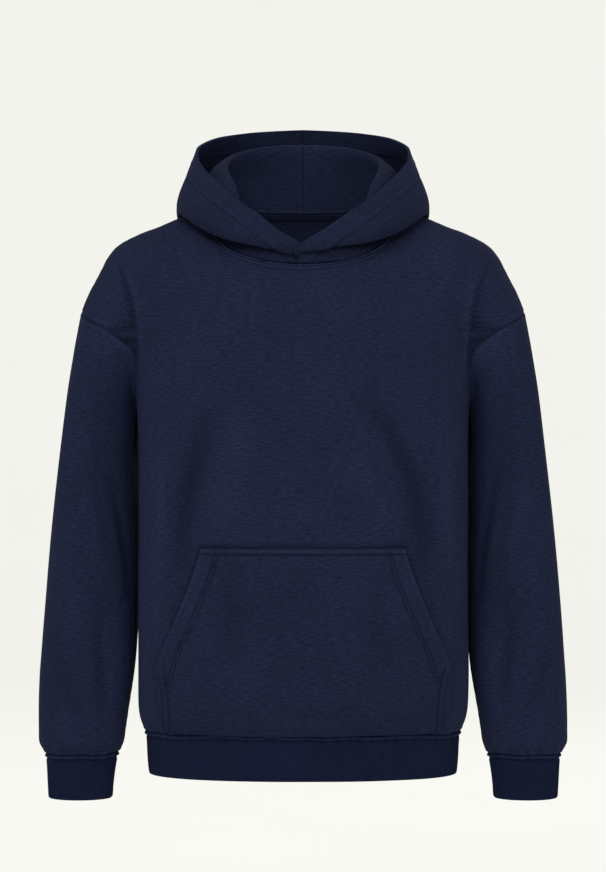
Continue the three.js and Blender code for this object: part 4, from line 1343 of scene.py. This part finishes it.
def make_hood(side, material):
    shares = hood_shares()
    grid = hood_grid(np.linspace(0, 2, HOOD_PLACES), shares)
    if side == "right":
        grid = lapped(grid)
    else:
        grid[..., 0] = np.maximum(0, grid[..., 0])
    normals = grid_normals(grid)
    seam_normals = outward(grid[:, 0])
    if (normals[:, 1:12] * seam_normals[:, None]).sum() < 0:
        normals = -normals
    normals[:, 0] = seam_normals
    normals[-1, :, 0] = 0
    sheet = sheet_of(grid, unit(normals), turned=True)
    rim, _ = near_line(sheet["points"], grid[:, -1], RIM_REACH)
    height, shade = hood_relief(sheet["points"], rim, grid[-1], side)
    lift(sheet, height)
    sheet["shade"] = shade * outer_hood_shade(grid, shares)
    sheet["inner_shade"] = inner_hood_shade(sheet["points"], grid[-1])
    free = np.zeros(grid.shape[:2], bool)
    free[:, -1] = True
    free[0] = True
    if side == "left":
        sheet |= mirrored_sheet(sheet)
    thickness = HOOD_FLEECE + HEM_EXTRA * np.clip(HOOD_HEM - rim, 0, 1)
    piece = wall(f"hood_{side}_cloth", sheet, thickness, free.ravel())
    dress_sheet(piece, f"hood_{side}", material)
    return sheet, grid


def hood_shares():
    # Even lengths over the eight spans, with close lines at the seam, at the inner edge of the hem and at
    # the rim.
    even_shares = np.linspace(0, 1, PROBE_POINTS)
    probe = hood_section(HOOD_PROBE, neck_point([HOOD_PROBE])[0], even_shares)
    run = lengths_along(probe)
    total = run[-1]
    even = np.linspace(0, total, round(total / HOOD_STEP) + 1)
    hem = total - HOOD_HEM + np.array(HEM_EDGE_LINES)
    ends = np.concatenate([SEAM_LINES, total - np.array(RIM_LINES)])
    clear = np.abs(even[:, None] - np.concatenate([hem, ends])[None]).min(1) > LINE_CLEAR
    at = np.unique(np.concatenate([even[clear], hem, ends, [0, total]]))
    return np.interp(at, run, even_shares)


def pocket_half(z):
    return np.interp(z, POCKET_ROWS["z"], POCKET_ROWS["half"])


def make_pocket(material):
    z = pocket_heights()
    half = pocket_half(z)[:, None]
    edge = np.interp(z, POCKET_ROWS["z"], POCKET_ROWS["edge"])[:, None]
    across = pocket_columns()[None]
    p = on_face(across * half, np.repeat(z[:, None], across.shape[1], 1))
    normals = outward(p)
    sewn, hand = pocket_inset(across * half, z[:, None])
    stitched = relief(sewn, POCKET_SEAM) + relief(hand, HAND_SEAMS)
    full = np.minimum(1, edge / FULL_EDGE) * (1 - across ** 2) * POCKET_FULLNESS
    height = POCKET_CLEAR + edge * np.abs(across) ** 4 + full
    height += stitched + relief(sewn, POCKET_FLAT) + relief(hand, HAND_ROUND)
    sheet = sheet_of(p + normals * height[..., None], normals)
    flat = p.reshape(-1, 3)
    folds = creased(flat)
    # Painted shade in the creases, along the stitches and just outside the pocket's edges, and painted
    # highlights on its folded edges.
    edges = relief(hand, POCKET_HAND_EDGE_LIGHT_AND_SHADE) + relief(sewn, POCKET_SEWN_EDGE_LIGHT_AND_SHADE)
    sheet["shade"] = 1 + CREASE_SHADE * folds + SEAM_SHADE * (stitched * POCKET_STITCH_SHADE + edges).ravel()
    lift(sheet, folds + unevenness(flat, *BODY_UNEVEN))
    piece = wall("pocket_cloth", sheet, POCKET_FLEECE, np.ones(len(flat), bool))
    dress_sheet(piece, "pocket", material)
    return sheet


def pocket_heights():
    low = POCKET_ROWS["z"][0]
    high = POCKET_ROWS["z"][-1]
    even = np.arange(low, high, POCKET_STEP)
    close = high - np.array(POCKET_TOP_LINES)
    return np.unique(np.concatenate([even[even < close[-1] - 1], close]))


def pocket_columns():
    inner = np.linspace(-1, 1, 2 * round(POCKET_HALF / POCKET_STEP) + 1)
    inner = inner[np.abs(inner) < 1 - POCKET_INNER / POCKET_HALF]
    close = 1 - np.array(POCKET_SIDE_LINES) / POCKET_HALF
    return np.unique(np.concatenate([inner, close, -close]))


def slanted_half(z):
    # Half the width between the two hand openings, carried on below the corners of the pocket.
    return np.where(z < CORNER_HEIGHT, CORNER_HALF + POCKET_LEAN * (CORNER_HEIGHT - z), pocket_half(z))


def pocket_inset(x, z):
    # Distances inwards from the sewn edges, which are the top and the lower sides, and from the two hand
    # openings.
    top = POCKET_ROWS["z"][-1] - z
    side = (slanted_half(z) - np.abs(x)) / math.hypot(1, POCKET_LEAN)
    lower = np.minimum(pocket_half(z) - np.abs(x), top)
    sewn = np.where(z > CORNER_HEIGHT, np.broadcast_to(top, x.shape), lower)
    hand = np.where(CORNER_HEIGHT - z < POCKET_TURN, side, NOT_NEAR)
    return sewn, hand


def make_tape(material):
    seam = neck_point(np.linspace(TAPE_START, 2.0, TAPE_PLACES))
    lower = body_point(turn_of(seam), seam[:, 2] - TAPE_DOWN)
    down = unit(lower - seam)
    inside = outward(seam) * -(FLEECE + TAPE_CLEAR)
    depths = TAPE_TOP + np.linspace(0, TAPE_DEPTH, TAPE_LINES)
    grid = np.stack([seam + down * depth + inside for depth in depths])
    grid[:, -1, 0] = 0
    normals = outward(grid)
    normals[:, -1, 0] = 0
    half = sheet_of(grid, unit(normals))
    sheet = joined(half, mirrored_sheet(half))
    piece = wall("neck_tape_cloth", sheet, TAPE, np.ones(len(sheet["points"]), bool))
    dress_sheet(piece, "neck_tape", material)


# Stitches

def surface_of(sheet):
    return BVHTree.FromPolygons(sheet["points"].tolist(), sheet["faces"].tolist())


def beside(line, distance):
    # A line on the form at a distance to one side of another line.
    dense = resampled(line, 3.0)
    along = unit(np.gradient(dense, axis=0))
    return dense + unit(np.cross(outward(dense), along)) * distance


def placed(surface, p, depth):
    found, normal, _, distance = surface.find_nearest(Vector(p))
    if found is None or distance > STITCH_SEARCH:
        return None
    return np.array(found) - np.array(normal) * depth, np.array(normal)


def stitch_points(start, end, normal):
    # A short thread between two places: pointed ends and two three-sided rings that stand a little off the
    # cloth.
    along = unit(end - start)
    aside = np.cross(normal, along)
    points = [start]
    for share in (0.25, 0.75):
        centre = mix(start, end, share) + normal * THREAD_RADIUS * THREAD_STANDS
        for k in range(THREAD_SIDES):
            angle = math.pi / 2 + 2 * math.pi * k / THREAD_SIDES
            points.append(centre + THREAD_RADIUS * (aside * math.cos(angle) + normal * math.sin(angle)))
    points.append(end)
    return points


def stitch_faces():
    faces = []
    for k in range(THREAD_SIDES):
        a, b = 1 + k, 1 + (k + 1) % THREAD_SIDES
        c, d = a + THREAD_SIDES, b + THREAD_SIDES
        faces += [(0, b, a), (a, b, d), (a, d, c), (c, d, 2 * THREAD_SIDES + 1)]
    return np.array(faces)


def make_stitches(node, surface, rows, material):
    # rows holds pairs: the line of a row of stitches, and how far it lies below the surface.
    found = []
    for line, depth in rows:
        run = lengths_along(line)
        for at in np.arange(STITCH_PITCH, run[-1] - STITCH_PITCH, STITCH_PITCH):
            first = placed(surface, place_at(line, run, at), depth)
            second = placed(surface, place_at(line, run, at + STITCH_LENGTH), depth)
            if first and second:
                normal = first[1] if depth <= 0 else -first[1]
                found.append(stitch_points(first[0], second[0], normal))
    points = np.array(found)
    count = points.shape[1]
    faces = (stitch_faces()[None] + count * np.arange(len(points))[:, None, None]).reshape(-1, 3)
    piece = mesh_object(f"{node}_stitches", points.reshape(-1, 3) * MILLIMETRE, faces)
    dress(piece, node, material)


# Looks

def new_look(name):
    material = bpy.data.materials.new(name)
    material.use_nodes = True
    tree = material.node_tree
    return material, tree, tree.nodes["Principled BSDF"]


def cloth_places(tree):
    uv = tree.nodes.new("ShaderNodeUVMap")
    uv.uv_map = "cloth"
    return uv.outputs["UV"]


def object_places(tree):
    return tree.nodes.new("ShaderNodeTexCoord").outputs["Object"]


def scaled(tree, vector, scale):
    node = tree.nodes.new("ShaderNodeMapping")
    node.inputs["Scale"].default_value = scale
    tree.links.new(vector, node.inputs["Vector"])
    return node.outputs["Vector"]


def noise(tree, vector, scale, detail=2.0):
    node = tree.nodes.new("ShaderNodeTexNoise")
    node.inputs["Scale"].default_value = scale
    node.inputs["Detail"].default_value = detail
    tree.links.new(vector, node.inputs["Vector"])
    return node.outputs["Fac"]


def stripes(tree, vector, per_metre, direction="X"):
    # Soft waves across the cloth, so many to a metre.
    node = tree.nodes.new("ShaderNodeTexWave")
    node.bands_direction = direction
    node.inputs["Scale"].default_value = per_metre * WAVE_LENGTH
    node.inputs["Distortion"].default_value = 0.6
    node.inputs["Detail"].default_value = 1.0
    tree.links.new(vector, node.inputs["Vector"])
    return node.outputs["Fac"]


def spread(tree, value, low, high, to_low, to_high):
    node = tree.nodes.new("ShaderNodeMapRange")
    for name, number in (("From Min", low), ("From Max", high), ("To Min", to_low), ("To Max", to_high)):
        node.inputs[name].default_value = number
    tree.links.new(value, node.inputs["Value"])
    return node.outputs["Result"]


def varied(tree, noise_value, low, high):
    # A noise, most of which lies between 0.3 and 0.7, spread out between two values.
    return spread(tree, noise_value, *NOISE_SPAN, low, high)


def times(tree, values):
    total = values[0]
    for value in values[1:]:
        node = tree.nodes.new("ShaderNodeMath")
        node.operation = "MULTIPLY"
        tree.links.new(total, node.inputs[0])
        tree.links.new(value, node.inputs[1])
        total = node.outputs["Value"]
    return total


def shaded(tree, colour, amount):
    # A colour made lighter and darker by an amount that is 1 where the colour stays as it is.
    node = tree.nodes.new("ShaderNodeVectorMath")
    node.operation = "SCALE"
    node.inputs[0].default_value = colour
    tree.links.new(amount, node.inputs["Scale"])
    return node.outputs["Vector"]


def raised(tree, height, distance, before):
    node = tree.nodes.new("ShaderNodeBump")
    node.inputs["Strength"].default_value = 1.0
    node.inputs["Distance"].default_value = distance
    tree.links.new(height, node.inputs["Height"])
    if before is not None:
        tree.links.new(before, node.inputs["Normal"])
    return node.outputs["Normal"]


def finished(tree, shader, colour, amount, heights, rough, sheen, specular):
    # Colour, relief, roughness and sheen. The last of the heights is the nap, which makes the roughness
    # uneven too.
    tree.links.new(shaded(tree, colour, amount), shader.inputs["Base Color"])
    normal = None
    for height, distance in heights:
        normal = raised(tree, height, distance, normal)
    tree.links.new(normal, shader.inputs["Normal"])
    tree.links.new(varied(tree, heights[-1][0], *rough), shader.inputs["Roughness"])
    shader.inputs["Specular IOR Level"].default_value = specular
    shader.inputs["Sheen Weight"].default_value = sheen
    shader.inputs["Sheen Roughness"].default_value = 0.5
    shader.inputs["Sheen Tint"].default_value = (*NAVY_SHEEN, 1)


def wear_and_shade_amount(tree, uv, streak, grain):
    # Lighter and darker places: short threads that lie across the cloth, a fine grain, a slow fading with
    # wear, the painted shade and painted light that the mesh carries, and edges that are rubbed lighter.
    shade = tree.nodes.new("ShaderNodeAttribute")
    shade.attribute_name = "shade"
    edges = tree.nodes.new("ShaderNodeNewGeometry").outputs["Pointiness"]
    return times(tree, [
        varied(tree, noise(tree, scaled(tree, uv, STREAKS), 1.0), 1 - streak, 1 + streak),
        varied(tree, noise(tree, uv, GRAIN_SCALE, 1.0), 1 - grain, 1 + grain),
        varied(tree, noise(tree, uv, FADING_SCALE, 3.0), *FADING),
        shade.outputs["Fac"],
        spread(tree, edges, *EDGE_SPAN, 1.0, EDGE_LIGHT),
    ])


def fleece_look():
    # Brushed outside of a heavy fleece: fine upright columns of knit under a short nap.
    material, tree, shader = new_look("fleece")
    uv = cloth_places(tree)
    tone_amount = wear_and_shade_amount(tree, uv, 0.28, 0.22)
    threads = noise(tree, scaled(tree, uv, THREADS), 1.0)
    nap = noise(tree, uv, 1400.0)
    heights = [(stripes(tree, uv, 620.0), 0.00012), (threads, 0.00035), (nap, 0.00025)]
    finished(tree, shader, FLEECE_COLOUR, tone_amount, heights, (0.88, 1.0), 0.012, 0.03)
    return material


def rib_look():
    # The ribs themselves are formed. This adds the loops of the knit along them.
    material, tree, shader = new_look("rib knit")
    uv = cloth_places(tree)
    tone_amount = wear_and_shade_amount(tree, uv, 0.2, 0.2)
    heights = [(stripes(tree, uv, 700.0, "Y"), 0.00012), (noise(tree, uv, 1300.0), 0.0003)]
    finished(tree, shader, RIB_COLOUR, tone_amount, heights, (0.86, 1.0), 0.01, 0.03)
    return material


def tape_look():
    # Woven tape with a slanting rib.
    material, tree, shader = new_look("neck tape")
    uv = cloth_places(tree)
    tone_amount = wear_and_shade_amount(tree, uv, 0.1, 0.08)
    heights = [(stripes(tree, uv, 900.0, "DIAGONAL"), 0.0002), (noise(tree, uv, 1500.0, 1.0), 0.0001)]
    finished(tree, shader, TAPE_COLOUR, tone_amount, heights, (0.75, 0.9), 0.02, 0.06)
    return material


def thread_look():
    # Twisted sewing thread, a little smoother than the cloth.
    material, tree, shader = new_look("thread")
    twist = noise(tree, object_places(tree), 2600.0, 1.0)
    tone_amount = varied(tree, twist, 0.8, 1.25)
    finished(tree, shader, THREAD_COLOUR, tone_amount, [(twist, 0.00015)], (0.6, 0.8), 0.0, 0.08)
    return material


def studio_look():
    # Matt pale paint with some light of its own, so that it is the same tone everywhere.
    material, tree, shader = new_look("studio")
    grain = varied(tree, noise(tree, object_places(tree), 3.0), 0.99, 1.01)
    tree.links.new(shaded(tree, STUDIO_COLOUR, grain), shader.inputs["Base Color"])
    shader.inputs["Roughness"].default_value = 1.0
    shader.inputs["Specular IOR Level"].default_value = 0.0
    shader.inputs["Emission Color"].default_value = (*STUDIO_GLOW, 1)
    shader.inputs["Emission Strength"].default_value = GLOW_STRENGTH
    return material


# Room, light and camera

def make_camera():
    data = bpy.data.cameras.new("camera")
    data.lens = CAMERA_LENS
    camera = bpy.data.objects.new("camera", data)
    camera.location = (0, -CAMERA_BACK, CAMERA_HEIGHT)
    camera.rotation_euler = (math.pi / 2, 0, 0)
    bpy.context.scene.collection.objects.link(camera)
    bpy.context.scene.camera = camera


def make_room():
    # A pale floor that turns up into a wall all round.
    profile = [(ROOM_MIDDLE, FLOOR_HEIGHT)]
    for k in range(BEND_STEPS + 1):
        angle = math.pi / 2 * k / BEND_STEPS
        out = ROOM_RADIUS - ROOM_BEND + ROOM_BEND * math.sin(angle)
        profile.append((out, FLOOR_HEIGHT + ROOM_BEND * (1 - math.cos(angle))))
    profile.append((ROOM_RADIUS, ROOM_TOP))
    points = []
    for radius, z in profile:
        for k in range(ROOM_SIDES):
            turn = 2 * math.pi * k / ROOM_SIDES
            points.append((radius * math.cos(turn), radius * math.sin(turn), z))
    at = np.arange(len(points)).reshape(len(profile), ROOM_SIDES)
    following = np.roll(at, -1, 1)
    faces = np.stack([at[:-1], following[:-1], following[1:], at[1:]], -1).reshape(-1, 4)
    floor = mesh_object("floor", np.array(points), faces)
    floor.data.materials.append(studio_look())


def make_light(name, place, aim, size, power):
    data = bpy.data.lights.new(name, "AREA")
    data.shape = "SQUARE"
    data.size = size
    data.energy = power
    lamp = bpy.data.objects.new(name, data)
    lamp.location = place
    lamp.rotation_euler = (Vector(aim) - Vector(place)).to_track_quat("-Z", "Y").to_euler()
    bpy.context.scene.collection.objects.link(lamp)


def make_lights():
    world = bpy.data.worlds.new("studio")
    world.use_nodes = True
    sky = world.node_tree.nodes["Background"]
    sky.inputs["Color"].default_value = (*WORLD_COLOUR, 1)
    sky.inputs["Strength"].default_value = WORLD_STRENGTH
    bpy.context.scene.world = world
    for name, values in LIGHTS.items():
        make_light(name, *values)


# Putting the hoodie together

def row_inside_rim(grid, distance):
    # A line that runs a steady distance inside the rim of the hood.
    runs = [lengths_along(section) for section in grid]
    return np.array([place_at(section, run, run[-1] - distance) for section, run in zip(grid, runs)])


def pocket_rows():
    # The rows of stitches on the pocket: along its top, beside its hand openings and down its lower sides.
    heights = POCKET_ROWS["z"]
    half_top = POCKET_ROWS["half"][-1] - TOP_ROW_SHORT
    top_x = np.linspace(-half_top, half_top, ROW_PLACES)
    rows = [on_face(top_x, np.full(ROW_PLACES, heights[-1] - POCKET_TOP_STITCH))]
    hand_z = np.linspace(heights[-1] - HAND_ROW_SHORT[0], CORNER_HEIGHT - HAND_ROW_SHORT[1], ROW_PLACES)
    side_z = np.linspace(CORNER_HEIGHT - SIDE_ROW_SHORT[0], heights[0] + SIDE_ROW_SHORT[1], ROW_PLACES // 2)
    for sign in (1, -1):
        for inset in HAND_STITCHES:
            rows.append(on_face(sign * (slanted_half(hand_z) - inset), hand_z))
        rows.append(on_face(sign * (pocket_half(side_z) - POCKET_SIDE_STITCH), side_z))
    return rows


def neck_rows(front):
    half = NECK_HALF[:101] if front else NECK_HALF[100:]
    rows = [beside(half, distance) for distance in NECK_STITCHES]
    return [line for row in rows for line in (row, mirrored(row))]


def build():
    fleece = fleece_look()
    rib = rib_look()
    tape = tape_look()
    thread = thread_look()
    for name, front in (("front_panel", True), ("back_panel", False)):
        surface = surface_of(make_panel(name, front, fleece))
        make_stitches(name, surface, [(row, 0.0) for row in neck_rows(front)], thread)
    make_hem(rib)
    for side in ("right", "left"):
        make_sleeve(side, fleece)
        make_cuff(side, rib)
        sheet, grid = make_hood(side, fleece)
        row = row_inside_rim(grid, RIM_STITCH)[ROWS_AT_LAP:]
        if side == "left":
            row = mirrored(row)
        rows = [(row, 0.0), (row, HOOD_FLEECE + HEM_EXTRA)]
        make_stitches(f"hood_{side}", surface_of(sheet), rows, thread)
    surface = surface_of(make_pocket(fleece))
    make_stitches("pocket", surface, [(row, 0.0) for row in pocket_rows()], thread)
    make_tape(tape)


build()
make_camera()
make_room()
make_lights()
bpy.context.scene.view_settings.view_transform = "Standard"
